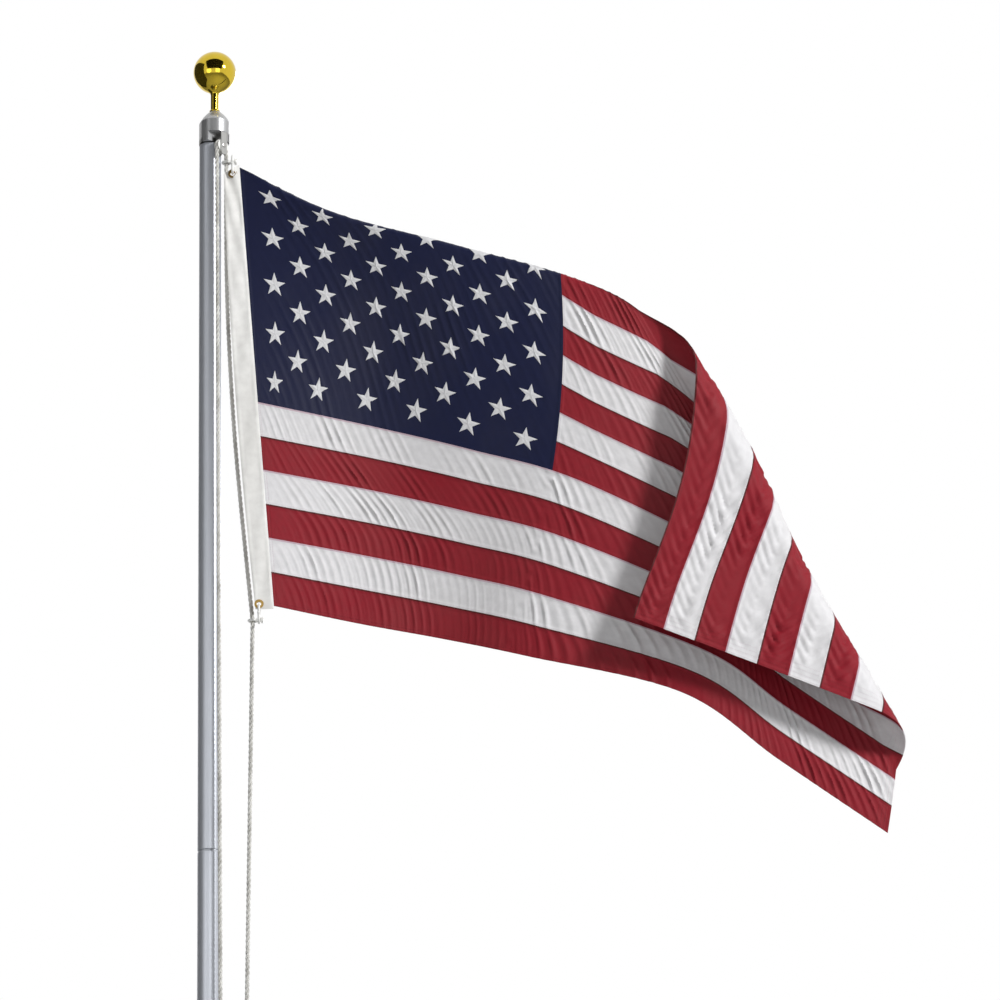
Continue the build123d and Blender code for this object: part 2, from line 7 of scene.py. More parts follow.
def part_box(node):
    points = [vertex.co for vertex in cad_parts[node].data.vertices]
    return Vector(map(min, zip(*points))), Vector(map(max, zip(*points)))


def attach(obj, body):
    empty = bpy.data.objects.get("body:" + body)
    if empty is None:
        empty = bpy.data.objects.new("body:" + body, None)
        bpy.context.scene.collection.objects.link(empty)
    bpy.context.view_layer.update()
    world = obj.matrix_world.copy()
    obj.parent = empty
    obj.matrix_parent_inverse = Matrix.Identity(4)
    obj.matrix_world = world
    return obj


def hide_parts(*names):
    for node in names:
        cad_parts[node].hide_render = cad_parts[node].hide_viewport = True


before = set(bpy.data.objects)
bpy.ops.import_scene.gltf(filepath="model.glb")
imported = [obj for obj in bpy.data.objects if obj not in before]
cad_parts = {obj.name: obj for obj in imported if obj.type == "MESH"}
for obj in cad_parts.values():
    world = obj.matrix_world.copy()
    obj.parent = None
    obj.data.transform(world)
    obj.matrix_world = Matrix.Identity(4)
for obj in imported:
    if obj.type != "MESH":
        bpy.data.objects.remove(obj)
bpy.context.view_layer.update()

bl_info = {
    "name": "Flagpole dressing",
    "version": (1, 0, 0),
    "blender": (4, 5, 0),
    "location": "3D View > Sidebar > Flagpole",
    "description": "Pole, truck, ball, halyard and sewn flag around the packed frame",
    "category": "Object",
}

MAST = "mast"
MM = 0.001


def box_centre(node):
    low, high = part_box(node)
    return (low + high) / 2


# Levels read from the frame
truck_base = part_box("pole_section_4")[1].z
pole_radius = (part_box("pole_section_4")[1].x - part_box("pole_section_4")[0].x) / 2


# Sizes and colours that a user would change
def srgb(red, green, blue):
    """Linear colour of a paint given in screen values from 0 to 255."""
    parts = []
    for value in (red, green, blue):
        share = value / 255
        parts.append(share / 12.92 if share <= 0.04045 else ((share + 0.055) / 1.055) ** 2.4)
    return (*parts, 1.0)


def colour(name, description, *screen):
    return bpy.props.FloatVectorProperty(
        name=name, description=description, subtype="COLOR", size=4, min=0, max=1,
        default=srgb(*screen))


def length(name, description, default):
    return bpy.props.FloatProperty(
        name=name, description=description, default=default, unit="LENGTH", precision=4)


def number(name, description, default, subtype="NONE"):
    return bpy.props.FloatProperty(
        name=name, description=description, default=default, subtype=subtype)


class FlagClothSettings(bpy.types.PropertyGroup):
    """Sizes of the flag's cloth, its seams and its stars."""
    hoist: length("Hoist", "Height of the flag along the heading", 0.914)
    fly: length("Fly", "Length of the flag with its heading", 1.524)
    heading: length("Heading width", "Width of the canvas strip", 0.040)
    canton: length("Canton width", "Width of the blue field", 0.690)
    thickness: length("Cloth thickness", "Thickness of one layer with its loft", 0.0008)
    seam_thickness: length("Seam thickness", "Thickness where layers are folded", 0.0017)
    seam_half_width: length("Seam half width", "Half the width of a felled seam", 0.0045)
    star_radius: length("Star radius", "Centre of a star to its tips", 0.0252)
    wrinkle_depth: length("Wrinkle depth", "Height of the fine diagonal wrinkles", 0.0024)
    red: colour("Red", "Red of the stripes", 140, 24, 38)
    # Red at the seam is painted shadow: the red darkened along the top of each red stripe, under
    # the white's lapped edge.
    red_seam_shadow: colour("Red at the seam", "Red where layers are folded", 84, 28, 30)
    white: colour("White", "White of the stripes", 228, 227, 229)
    white_seam: colour("White at the seam", "White with red folded under", 200, 176, 188)
    blue: colour("Blue", "Blue of the canton", 17, 23, 56)
    star: colour("Stars", "Thread of the stars", 226, 226, 228)
    canvas: colour("Canvas", "Canvas of the heading", 250, 249, 246)


class FlagpoleMetalSettings(bpy.types.PropertyGroup):
    """Colours of the pole's metals, rope and plastics."""
    tube: colour("Tube", "Anodised tube", 196, 200, 208)
    casting: colour("Casting", "Cast truck and cleat", 188, 189, 190)
    gold: colour("Gold", "Gold anodised ball", 214, 186, 62)
    steel: colour("Steel", "Pin and screws", 170, 170, 168)
    rope: colour("Rope", "Halyard yarn", 240, 239, 234)
    nylon: colour("Nylon", "Sheave and snaps", 247, 247, 244)
    brass: colour("Brass", "Grommets", 184, 150, 84)
    plug: colour("Plug", "Plastic of the foot plug", 40, 41, 43)


class FlagpoleStageSettings(bpy.types.PropertyGroup):
    """Camera place and the studio around the flagpole."""
    distance: length("Camera distance", "Camera to the pole's axis", 9.70)
    height: length("Camera height", "Camera above the ground", 1.5)
    sideways: length("Camera offset", "Camera to the right of the pole", 0.571)
    tilt: number("Tilt", "Camera's upward angle", math.radians(18.5), "ANGLE")
    roll: number("Roll", "Camera's roll, clockwise", math.radians(0.95), "ANGLE")
    lens: number("Lens", "Focal length on a 36 mm sensor", 187.2, "DISTANCE_CAMERA")
    backdrop: number("Backdrop", "Brightness seen behind", 1.0)
    ambient: number("Ambient", "Light from all around", 0.28)


# Node helpers
def fill(tree, node, values):
    """Sets or links a node's inputs."""
    for key, value in values.items():
        socket = node.inputs[key]
        if isinstance(value, bpy.types.NodeSocket):
            tree.links.new(value, socket)
        else:
            socket.default_value = value


def put(tree, kind, values=(), **fields):
    """Adds a node, sets its fields and fills its inputs."""
    node = tree.nodes.new(kind)
    for key, value in fields.items():
        setattr(node, key, value)
    fill(tree, node, dict(values))
    return node


def maths(tree, operation, *values):
    return put(tree, "ShaderNodeMath", enumerate(values), operation=operation).outputs[0]


def spread(tree, value, low, high, new_low=0.0, new_high=1.0):
    node = put(tree, "ShaderNodeMapRange", {
        "Value": value, "From Min": low, "From Max": high,
        "To Min": new_low, "To Max": new_high})
    return node.outputs["Result"]


def noise(tree, vector, scale, detail=2.0, roughness=0.5):
    node = put(tree, "ShaderNodeTexNoise", {
        "Vector": vector, "Scale": scale, "Detail": detail, "Roughness": roughness})
    return node.outputs["Fac"]


def split(tree, vector):
    return put(tree, "ShaderNodeSeparateXYZ", {0: vector}).outputs


def mixed(tree, share, first, second):
    """Mix of two colours by a share; sockets 6 and 7 are the node's colours."""
    mix = put(tree, "ShaderNodeMix", {0: share, 6: first, 7: second}, data_type="RGBA")
    return mix.outputs[2]


def scaled_colour(paint, share):
    return (*(min(1.0, part * share) for part in paint[:3]), 1.0)


def toned(tree, share, paint, dark, light):
    """Paint that varies between a darker and a lighter share of itself."""
    return mixed(tree, share, scaled_colour(paint, dark), scaled_colour(paint, light))


def soiled(tree, clean, mask, dirt, paint):
    """Grime of a paint over a clean colour, as strong as the dirt value."""
    return mixed(tree, maths(tree, "MULTIPLY", mask, dirt), clean, paint)


def bumped(tree, height, distance, strength):
    bump = put(tree, "ShaderNodeBump",
               {"Height": height, "Distance": distance, "Strength": strength})
    return bump.outputs["Normal"]


def object_place(tree):
    return put(tree, "ShaderNodeTexCoord").outputs["Object"]


def uv_place(tree):
    return put(tree, "ShaderNodeUVMap").outputs[0]


# Node groups that materials share
def group_start(name, numbers, outputs):
    """New shader node group: a vector and numbers in, numbers out."""
    group = bpy.data.node_groups.new(name, "ShaderNodeTree")
    group.interface.new_socket("Vector", in_out="INPUT", socket_type="NodeSocketVector")
    for socket, default in numbers.items():
        made = group.interface.new_socket(socket, in_out="INPUT",
                                          socket_type="NodeSocketFloat")
        made.default_value = default
    for socket in outputs:
        group.interface.new_socket(socket, in_out="OUTPUT", socket_type="NodeSocketFloat")
    given = group.nodes.new("NodeGroupInput").outputs
    return group, given, group.nodes.new("NodeGroupOutput")


def weave_group():
    """Plain weave over a UV map in metres: thread height and a tone that varies."""
    group, given, made = group_start("cloth_weave", {"Threads": 1400.0}, ("Height", "Tone"))
    scaled = put(group, "ShaderNodeVectorMath",
                 {0: given["Vector"], "Scale": given["Threads"]}, operation="SCALE")
    axes = split(group, scaled.outputs[0])
    warp, weft = (maths(group, "SINE", maths(group, "MULTIPLY", axes[axis], math.pi))
                  for axis in (0, 1))
    slubs = noise(group, given["Vector"], scale=60.0, detail=4.0)
    fill(group, made, {"Height": maths(group, "MULTIPLY", warp, weft),
                       "Tone": spread(group, slubs, 0.3, 0.7)})
    return group


def weathering_group():
    """Dust and streaks that run down: a mask over the surface, and a fine grain."""
    group, given, made = group_start("weathering", {"Size": 8.0, "Streak": 0.15},
                                     ("Mask", "Grain"))
    stretch = put(group, "ShaderNodeCombineXYZ", {"X": 1.0, "Y": 1.0, "Z": given["Streak"]})
    run = put(group, "ShaderNodeVectorMath",
              {0: given["Vector"], 1: stretch.outputs[0]}, operation="MULTIPLY")
    cloud = noise(group, run.outputs[0], given["Size"], detail=5.0, roughness=0.62)
    fill(group, made, {"Mask": spread(group, cloud, 0.42, 0.68),
                       "Grain": noise(group, given["Vector"], scale=900.0)})
    return group


def drawn_grain_group():
    """Fine lines along Z, as drawing leaves them on a tube."""
    group, given, made = group_start("drawn_grain", {"Fineness": 700.0}, ("Height", "Tone"))
    flat = put(group, "ShaderNodeVectorMath", {0: given["Vector"], 1: (1.0, 1.0, 0.012)},
               operation="MULTIPLY")
    lines = noise(group, flat.outputs[0], given["Fineness"], detail=3.0, roughness=0.7)
    fill(group, made, {"Height": lines, "Tone": spread(group, lines, 0.35, 0.65)})
    return group


def seam_group():
    """Band along the upper edge of each stripe, from a UV map in metres; on the red it carries
    painted seam shadow.
    """
    group, given, made = group_start("stripe_seam", {"Stripe": 0.07, "Width": 0.004},
                                     ("Band",))
    below = maths(group, "MODULO", split(group, given["Vector"])[1], given["Stripe"])
    share = maths(group, "DIVIDE", below, given["Width"])
    fill(group, made, {"Band": spread(group, share, 0.55, 1.0, 1.0, 0.0)})
    return group


group_makers = {"weave": weave_group, "weathering": weathering_group,
                "grain": drawn_grain_group, "seam": seam_group}
groups = {}


def use_group(tree, name, values):
    """Places a shared group, made on first use, and gives its outputs."""
    if name not in groups:
        groups[name] = group_makers[name]()
    return put(tree, "ShaderNodeGroup", values, node_tree=groups[name]).outputs


def weathering(tree, place, size, streak):
    return use_group(tree, "weathering", {"Vector": place, "Size": size, "Streak": streak})


# Materials
def material_start(name):
    """New material with its node tree and its Principled BSDF."""
    material = bpy.data.materials.new(name)
    material.use_nodes = True
    return material, material.node_tree, material.node_tree.nodes["Principled BSDF"]


def cloth_material(name, paint, threads, roughness, sheen, dirt, seam=None, seam_width=0.0):
    """Woven cloth: weave bump, uneven tone, a band along each stripe's upper seam (painted seam
    shadow on the red, the red folded under showing through on the white) and a little grime.
    """
    material, tree, shader = material_start(name)
    uv = uv_place(tree)
    weave = use_group(tree, "weave", {"Vector": uv, "Threads": threads})
    grime = weathering(tree, object_place(tree), size=5.0, streak=0.5)
    clean = toned(tree, weave["Tone"], paint, dark=0.94, light=1.05)
    surface = soiled(tree, clean, grime["Mask"], dirt, srgb(150, 144, 132))
    # The seam band paints shadow along the top of each red stripe; on the white it shows the red
    # folded under.
    if seam is not None:
        stripe = bpy.context.scene.flag_cloth.hoist / stripe_count
        seam_shadow_and_tint = use_group(tree, "seam", {"Vector": uv, "Stripe": stripe, "Width": seam_width})
        surface = mixed(tree, seam_shadow_and_tint["Band"], surface, paint_of(seam))
    fill(tree, shader, {
        "Base Color": surface,
        "Roughness": spread(tree, weave["Tone"], 0, 1, roughness - 0.05, roughness + 0.06),
        "Sheen Weight": sheen, "Sheen Roughness": 0.45, "Specular IOR Level": 0.16,
        "Normal": bumped(tree, weave["Height"], distance=0.00012, strength=0.5)})
    return material


def star_material(name, paint, thread):
    """Satin stitching: threads run across each arm."""
    material, tree, shader = material_start(name)
    uv = uv_place(tree)
    turns = maths(tree, "MULTIPLY", split(tree, uv)[0], 2 * math.pi / thread)
    uneven = noise(tree, uv, scale=300.0)
    fill(tree, shader, {
        "Base Color": toned(tree, uneven, paint, dark=0.90, light=1.06),
        "Roughness": spread(tree, uneven, 0.3, 0.7, 0.42, 0.55),
        "Sheen Weight": 0.08,
        "Normal": bumped(tree, maths(tree, "SINE", turns), distance=0.00015, strength=0.6)})
    return material


def painted_slot_shade(tree, place):
    """Mask of painted shade in the truck's slot and bore: nearer the axis than its wall, and low
    down.
    """
    low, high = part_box("truck_cap")
    wall = (high.x - low.x) / 2
    levels = [low.z + share * (high.z - low.z) for share in (0.45, 0.50)]
    axes = split(tree, place)
    squares = [maths(tree, "MULTIPLY", axes[axis], axes[axis]) for axis in (0, 1)]
    reach = maths(tree, "SQRT", maths(tree, "ADD", *squares))
    return maths(tree, "MULTIPLY",
                 spread(tree, reach, wall - 0.0026, wall - 0.0010, 1.0, 0.0),
                 spread(tree, axes[2], *levels, 1.0, 0.0))


def metal_material(name, paint, metallic, roughness, grain=0.0, dirt=0.5, dirt_paint=None,
                   slot=False):
    """Metal with drawn or cast grain, thin weathering and, with slot set, painted shade in the
    truck's slot and bore.
    """
    material, tree, shader = material_start(name)
    place = object_place(tree)
    lines = use_group(tree, "grain", {"Vector": place})
    grime = weathering(tree, place, size=14.0, streak=0.12)
    clean = toned(tree, lines["Tone"], paint, dark=0.95, light=1.04)
    surface = soiled(tree, clean, grime["Mask"], dirt, dirt_paint or scaled_colour(paint, 0.6))
    # Painted shade: the truck's slot and bore are darkened to near black.
    if slot:
        surface = mixed(tree, painted_slot_shade(tree, place), surface, srgb(30, 29, 27))
    height = lines["Height"] if grain > 0 else grime["Grain"]
    fill(tree, shader, {
        "Base Color": surface, "Metallic": metallic,
        "Roughness": spread(tree, grime["Mask"], 0, 1, roughness, roughness + 0.12),
        "Normal": bumped(tree, height, distance=0.0001, strength=max(grain, 0.08))})
    return material


def plastic_material(name, paint, roughness, dirt):
    """Moulded nylon or plastic, slightly yellowed and dusty."""
    material, tree, shader = material_start(name)
    grime = weathering(tree, object_place(tree), size=60.0, streak=0.8)
    fill(tree, shader, {
        "Base Color": soiled(tree, paint, grime["Mask"], dirt, srgb(128, 122, 108)),
        "Roughness": spread(tree, grime["Mask"], 0, 1, roughness, roughness + 0.15),
        "Normal": bumped(tree, grime["Grain"], distance=0.00005, strength=0.4)})
    return material


def rope_material(name, paint, dirt):
    """Twisted yarn: fine fibres along each strand and darker, soiled stretches."""
    material, tree, shader = material_start(name)
    stretched = put(tree, "ShaderNodeMapping",
                    {"Vector": uv_place(tree), "Scale": (500.0, 6.0, 1.0)})
    fibres = noise(tree, stretched.outputs[0], scale=1.0, detail=4.0)
    grime = weathering(tree, object_place(tree), size=40.0, streak=0.6)
    clean = toned(tree, fibres, paint, dark=0.82, light=1.1)
    fill(tree, shader, {
        "Base Color": soiled(tree, clean, grime["Mask"], dirt, srgb(118, 114, 102)),
        "Roughness": 0.8, "Sheen Weight": 0.25,
        "Normal": bumped(tree, fibres, distance=0.0004, strength=0.6)})
    return material


# Each slot's maker, material name, paint and values
casting_dirt = srgb(92, 90, 86)
finish_table = {
    # The red's seam band is painted shadow along the top of each red stripe.
    "flag_red": (cloth_material, "red_nylon", "red", dict(
        threads=1500, roughness=0.55, sheen=0.01, dirt=0.04,
        seam="red_seam_shadow", seam_width=0.0046)),
    "flag_white": (cloth_material, "white_nylon", "white", dict(
        threads=1500, roughness=0.55, sheen=0.02, dirt=0.08,
        seam="white_seam", seam_width=0.0044)),
    "flag_blue": (cloth_material, "blue_nylon", "blue", dict(
        threads=1500, roughness=0.5, sheen=0.01, dirt=0.03)),
    "heading_canvas": (cloth_material, "canvas", "canvas", dict(
        threads=900, roughness=0.85, sheen=0.05, dirt=0.16)),
    "star_thread": (star_material, "star_thread", "star", dict(thread=0.0008)),
    "pole_aluminium": (metal_material, "anodised_tube", "tube", dict(
        metallic=0.45, roughness=0.36, grain=0.35, dirt=0.25)),
    "cast_aluminium": (metal_material, "cast_alloy", "casting", dict(
        metallic=0.55, roughness=0.34, dirt_paint=casting_dirt)),
    # The truck's slot and bore get painted shade.
    "truck_alloy": (metal_material, "truck_alloy", "casting", dict(
        metallic=0.6, roughness=0.3, dirt_paint=casting_dirt, slot=True)),
    "bright_metal": (metal_material, "plated_steel", "steel", dict(
        metallic=0.9, roughness=0.3, dirt_paint=srgb(70, 68, 64))),
    "steel": (metal_material, "steel", "steel", dict(
        metallic=0.95, roughness=0.32, dirt_paint=srgb(86, 74, 62))),
    "gold": (metal_material, "gold_anodised", "gold", dict(
        metallic=1.0, roughness=0.05, dirt=0.35, dirt_paint=srgb(110, 92, 30))),
    "grommet_brass": (metal_material, "brass", "brass", dict(
        metallic=0.95, roughness=0.3, dirt=0.6, dirt_paint=srgb(84, 66, 38))),
    "sheave_nylon": (plastic_material, "sheave_nylon", "nylon", dict(
        roughness=0.4, dirt=0.12)),
    "snap_nylon": (plastic_material, "snap_nylon", "nylon", dict(roughness=0.35, dirt=0.10)),
    "plug_plastic": (plastic_material, "plug_plastic", "plug", dict(roughness=0.5, dirt=0.2)),
    "halyard_rope": (rope_material, "halyard_yarn", "rope", dict(dirt=0.55)),
}
finishes = {}


def paint_of(name):
    """Colour that the settings give a paint."""
    scene = bpy.context.scene
    source = scene.flag_cloth if hasattr(scene.flag_cloth, name) else scene.flagpole_metal
    return getattr(source, name)[:]


def finish_of(slot):
    """Material of a slot, made on first use."""
    if slot not in finishes:
        maker, name, paint, values = finish_table[slot]
        finishes[slot] = maker(name, paint_of(paint), **values)
    return finishes[slot]


# Mesh helpers
def mesh_piece(name, points, faces, uvs):
    """Object at the origin from points, faces and one UV for each point."""
    mesh = bpy.data.meshes.new(name)
    mesh.from_pydata(points, [], faces)
    layer = mesh.uv_layers.new(name="UVMap")
    for loop in mesh.loops:
        layer.data[loop.index].uv = uvs[loop.vertex_index]
    mesh.update()
    piece = bpy.data.objects.new(name, mesh)
    bpy.context.scene.collection.objects.link(piece)
    return piece


def select_only(piece):
    bpy.ops.object.select_all(action="DESELECT")
    piece.select_set(True)
    bpy.context.view_layer.objects.active = piece


def outwards_normals(piece):
    select_only(piece)
    bpy.ops.object.mode_set(mode="EDIT")
    bpy.ops.mesh.select_all(action="SELECT")
    bpy.ops.mesh.normals_make_consistent(inside=False)
    bpy.ops.object.mode_set(mode="OBJECT")


def smooth(piece, degrees):
    select_only(piece)
    bpy.ops.object.shade_smooth_by_angle(angle=math.radians(degrees))


def dress(piece, slot, body, *nodes):
    """Gives a piece its finish, its body and the nodes that it stands for."""
    piece.data.materials.clear()
    piece.data.materials.append(finish_of(slot))
    if nodes:
        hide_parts(*nodes)
    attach(piece, body)


def turned(name, profile, steps, place=(0, 0, 0)):
    """Piece turned on a lathe about Z from (radius, height) points, put in its place."""
    bpy.ops.object.select_all(action="DESELECT")
    bpy.ops.mesh.primitive_plane_add(size=0.001, location=(0, 0, 0))
    piece = bpy.context.object
    piece.name = piece.data.name = name
    bpy.ops.object.mode_set(mode="EDIT")
    bpy.ops.mesh.select_all(action="SELECT")
    bpy.ops.mesh.merge(type="CENTER")
    bpy.ops.transform.translate(value=(profile[0][0], 0, profile[0][1]))
    for (radius, height), (last_radius, last_height) in zip(profile[1:], profile):
        step = (radius - last_radius, 0, height - last_height)
        bpy.ops.mesh.extrude_region_move(TRANSFORM_OT_translate={"value": step})
    bpy.ops.mesh.select_all(action="SELECT")
    bpy.ops.mesh.spin(steps=steps, angle=2 * math.pi, center=(0, 0, 0), axis=(0, 0, 1))
    bpy.ops.mesh.select_all(action="SELECT")
    bpy.ops.mesh.remove_doubles(threshold=0.000005)
    bpy.ops.mesh.normals_make_consistent(inside=False)
    bpy.ops.object.mode_set(mode="OBJECT")
    piece.location = place
    select_only(piece)
    bpy.ops.object.transform_apply(location=True, rotation=True, scale=True)
    return piece


# The cloth's form: three rows of points (x, y and drop below the truck's foot, in mm)
top_row = [
    (60, -26, 58), (251, -45, 165), (488, -60, 243), (746, -65, 330),
    (897, -50, 431), (1087, -30, 689), (1325, -20, 924),
]
middle_row = [
    (96, -26, 558), (324, 10, 601), (520, -15, 662), (723, -45, 737),
    (1006, -45, 891), (1133, -30, 1004), (1343, -25, 1166),
]
bottom_row = [
    (127, -26, 980), (294, 15, 1007), (455, 20, 1039), (621, -25, 1091),
    (916, -60, 1179), (1099, -60, 1317), (1301, -75, 1470),
]
stripe_count = 13
canton_stripes = 7

# The turned corner: where its fold line runs, the roll, and how the flap lies
fold_start_fly = 0.915
fold_end_hoist = 0.746
fold_radius = 0.040
fold_slant = 0.437
flap_spread = 0.99
flap_direction = (-0.970, -0.05, -0.244)

# The top hem that rolls back: its radius and the cloth it takes up along the fly
hem_curl_radius = 0.012
hem_curl_end = 0.90
hem_curl_stations = (0, 0.0575, 0.1725, 0.2875, 0.4025, 0.5175, 0.6325, 0.70, 0.76,
                     hem_curl_end)
hem_curl_lengths = (0, 0.016, 0.034, 0.044, 0.055, 0.052, 0.058, 0.028, 0.012, 0)

# The canton's slack: factors of its bow along the fly and of its sag down the hoist
slack_along = (0.619, -2.201, -0.844, -0.568, 1.738)
slack_down = (-0.553, 1.524, -0.53, -3.109, 2.66)
slack_fade = 0.25

# Wrinkles along the fly, in metres, and how sharp their ridges are
wrinkle_pitch, wrinkle_sharpness = 0.0235, 3.6
fine_wrinkle_pitch, fine_wrinkle_sharpness = 0.0127, 2.0
chevron_pitch, chevron_sharpness = 0.0240, 2.6


def metres(row):
    return [(x * MM, y * MM, truck_base - drop * MM) for x, y, drop in row]


def soft_noise(fly, hoist, pace, seed):
    """Smooth seeded unevenness over the cloth, about -1 to 1."""
    count, largest = 9, 3.2
    random = np.random.default_rng(seed)
    total = np.zeros_like(fly)
    for _ in range(count):
        turn, phase = random.uniform(0, 2 * math.pi, 2)
        waves = pace * random.uniform(0.5, 1.7)
        total += np.sin(waves * (fly * math.cos(turn) + hoist * math.sin(turn)) + phase)
    return total / largest


def eased(share):
    """Smooth step from 0 to 1."""
    share = np.clip(share, 0.0, 1.0)
    return share * share * (3 - 2 * share)


def ridges(place, pitch, shift, sharpness):
    """Rounded ridges with wider hollows between them, about zero on the whole."""
    wave = 0.5 + 0.5 * np.sin(2 * math.pi * place / pitch + shift)
    return wave ** sharpness - 0.55 / (1 + 0.45 * sharpness)


def varied(unevenness, middle, reach, low, high):
    """Strength that varies about its middle, held between two limits."""
    return np.clip(middle + reach * unevenness, low, high)


def held(distance, reach, least):
    """Strength that grows with the distance from an edge, up to 1 at its reach."""
    return np.clip(distance / reach, least, 1)


def arched(across, least, power):
    """Strength across a stripe: least at its seams and 1 along its middle."""
    return least + (1 - least) * np.sin(math.pi * across) ** power


class Cloth:
    """The flag's cut sizes and where each point of the cloth hangs."""

    def __init__(self, settings):
        self.settings = settings
        self.hoist = settings.hoist
        self.fly = settings.fly - settings.heading
        self.stripe = self.hoist / stripe_count
        self.canton_width = settings.canton
        self.canton_height = self.stripe * canton_stripes
        rows = np.array([metres(row) for row in (top_row, middle_row, bottom_row)])
        before = 2 * rows[:, :1] - rows[:, 1:2]
        after = 2 * rows[:, -1:] - rows[:, -2:-1]
        self.rows = np.concatenate([before, rows, after], axis=1)
        fold_run = self.fly - fold_start_fly
        fold_length = math.hypot(fold_run, fold_end_hoist)
        self.along_fly = fold_run / fold_length
        self.down_hoist = fold_end_hoist / fold_length

    def splines(self, fly):
        """Points on the smooth curves through the three rows."""
        last = self.rows.shape[1] - 3
        scaled = np.clip(fly / self.fly, 0.0, 1.0) * last
        first = np.minimum(scaled.astype(int), last - 1)
        t = (scaled - first)[:, None]
        a, b, c, d = (self.rows[:, first + step] for step in range(4))
        return 0.5 * (2 * b + (c - a) * t + (2 * a - 5 * b + 4 * c - d) * t**2
                      + (3 * b - a - 3 * c + d) * t**3)

    def slack_shift(self, fly, hoist, curl):
        """How far the canton's slack moves a point along the fly and down the hoist."""
        width, height = self.canton_width, self.canton_height
        first, second, third, fourth, fifth = slack_along
        bow = first + second * hoist + third * hoist**2 + (fourth + fifth * hoist) * fly
        inside = np.clip(fly, 0.0, width) * np.maximum(width - fly, 0.0)
        along = inside * bow * (1 - eased((hoist - height) / slack_fade))
        first, second, third, fourth, fifth = slack_down
        sag = first + second * hoist + (third + fourth * hoist) * fly + fifth * fly**2
        ease = np.clip((hem_curl_end - fly) / (hem_curl_end - width), 0.0, 1.0)
        down = np.maximum(hoist - curl, 0.0) * np.maximum(height - hoist, 0.0) * sag * ease
        return along, down

    def open_sheet(self, fly, hoist):
        """Places of cloth points before the corner turns over, the top hem rolled back."""
        curl = np.interp(fly, hem_curl_stations, hem_curl_lengths)
        turn = np.maximum(curl - hoist, 0.0) / hem_curl_radius
        crest = hem_curl_radius * np.sin(np.minimum(curl / hem_curl_radius, math.pi / 2))
        height = self.canton_height
        along, down = self.slack_shift(fly, hoist, curl)
        drop = down + np.where(hoist < height, crest + (np.maximum(hoist, curl) - curl)
                               * (height - crest) / (height - curl), hoist)
        t = (drop / self.hoist)[:, None]
        m = canton_stripes / stripe_count
        top, middle, bottom = self.splines(fly + along)
        sheet = (top * (t - m) * (t - 1) / m + middle * t * (t - 1) / (m * (m - 1))
                 + bottom * t * (t - m) / (1 - m))
        rolled = np.stack([np.zeros_like(turn), 1 - np.cos(turn), np.sin(turn)], axis=1)
        return sheet + hem_curl_radius * rolled

    def beyond_fold(self, fly, hoist):
        """How far past the fold line each cloth point lies."""
        return (fly - fold_start_fly) * self.down_hoist - hoist * self.along_fly

    def point(self, fly, hoist):
        """Places of cloth points, with the fly corner turned over."""
        past = np.maximum(self.beyond_fold(fly, hoist), 0.0)
        foot = ((fly - fold_start_fly) * self.along_fly + hoist * self.down_hoist
                + fold_slant * past)
        crest = self.open_sheet(fold_start_fly + foot * self.along_fly, foot * self.down_hoist)
        turn = np.minimum(past / fold_radius, math.pi)
        flap = flap_spread * np.maximum(past - math.pi * fold_radius, 0.0)
        sideways = flap - fold_radius * np.sin(turn)
        shift = np.stack([
            flap_direction[0] * sideways,
            flap_direction[1] * flap - fold_radius * (1 - np.cos(turn)),
            flap_direction[2] * sideways], axis=1)
        return np.where((past > 0)[:, None], crest + shift, self.open_sheet(fly, hoist))

    def normal(self, fly, hoist):
        """Direction square to the cloth, towards the side that faces -Y at the hoist."""
        step = 0.003
        along = (self.point(np.minimum(fly + step, self.fly), hoist)
                 - self.point(np.maximum(fly - step, 0), hoist))
        down = (self.point(fly, np.minimum(hoist + step, self.hoist))
                - self.point(fly, np.maximum(hoist - step, 0)))
        square = np.cross(down, along)
        return square / np.linalg.norm(square, axis=1)[:, None]

    def wrinkle(self, fly, hoist):
        """Height of the fine diagonal wrinkles that the tight seams gather."""
        stripe = np.clip(hoist / self.stripe, 0, stripe_count - 0.0001)
        above = np.floor(stripe)
        across = stripe - above
        canton = (fly < self.canton_width) & (hoist < self.canton_height)
        drift = soft_noise(fly, hoist, pace=8.0, seed=11)
        gather = varied(soft_noise(fly, hoist, pace=12.0, seed=23),
                        middle=0.85, reach=0.50, low=0.30, high=1.5)
        bow = np.where(canton, 0.55 * across, 0.80 * across - 0.25 * across**2)
        along = fly - self.stripe * (bow + 0.55 * above)
        each = varied(soft_noise(along, above * 0.37, pace=55.0, seed=61),
                      middle=0.9, reach=0.7, low=0.2, high=1.8)
        main = (each * ridges(along, wrinkle_pitch, 3.6 * drift, wrinkle_sharpness)
                + 0.28 * ridges(along, fine_wrinkle_pitch, 5.0 * drift + 1.3,
                                fine_wrinkle_sharpness))
        seam_hold = np.where(canton, 0.32, arched(across, least=0.25, power=0.7))
        side_hold = np.where(hoist < self.canton_height,
                             held(np.abs(fly - self.canton_width), reach=0.018, least=0.15),
                             1.0)
        sheet = main * gather * seam_hold * side_hold * held(fly, reach=0.07, least=0.15)
        middle = np.abs(across - 0.5 + 0.16 * drift) * self.stripe
        pucker = varied(soft_noise(fly, hoist, pace=26.0, seed=31),
                        middle=1.15, reach=0.75, low=0.25, high=2.0)
        chevron = (ridges(fly + 1.05 * middle, chevron_pitch, 4.6 * drift, chevron_sharpness)
                   + 0.50 * soft_noise(fly, hoist, pace=120.0, seed=47))
        flap = chevron * pucker * arched(across, least=0.30, power=0.6)
        turned_over = held(self.beyond_fold(fly, hoist) - 0.02, reach=0.05, least=0)
        depth = self.settings.wrinkle_depth * held(self.fly - fly, reach=0.03, least=0.25)
        return depth * (sheet * (1 - turned_over) + flap * turned_over)

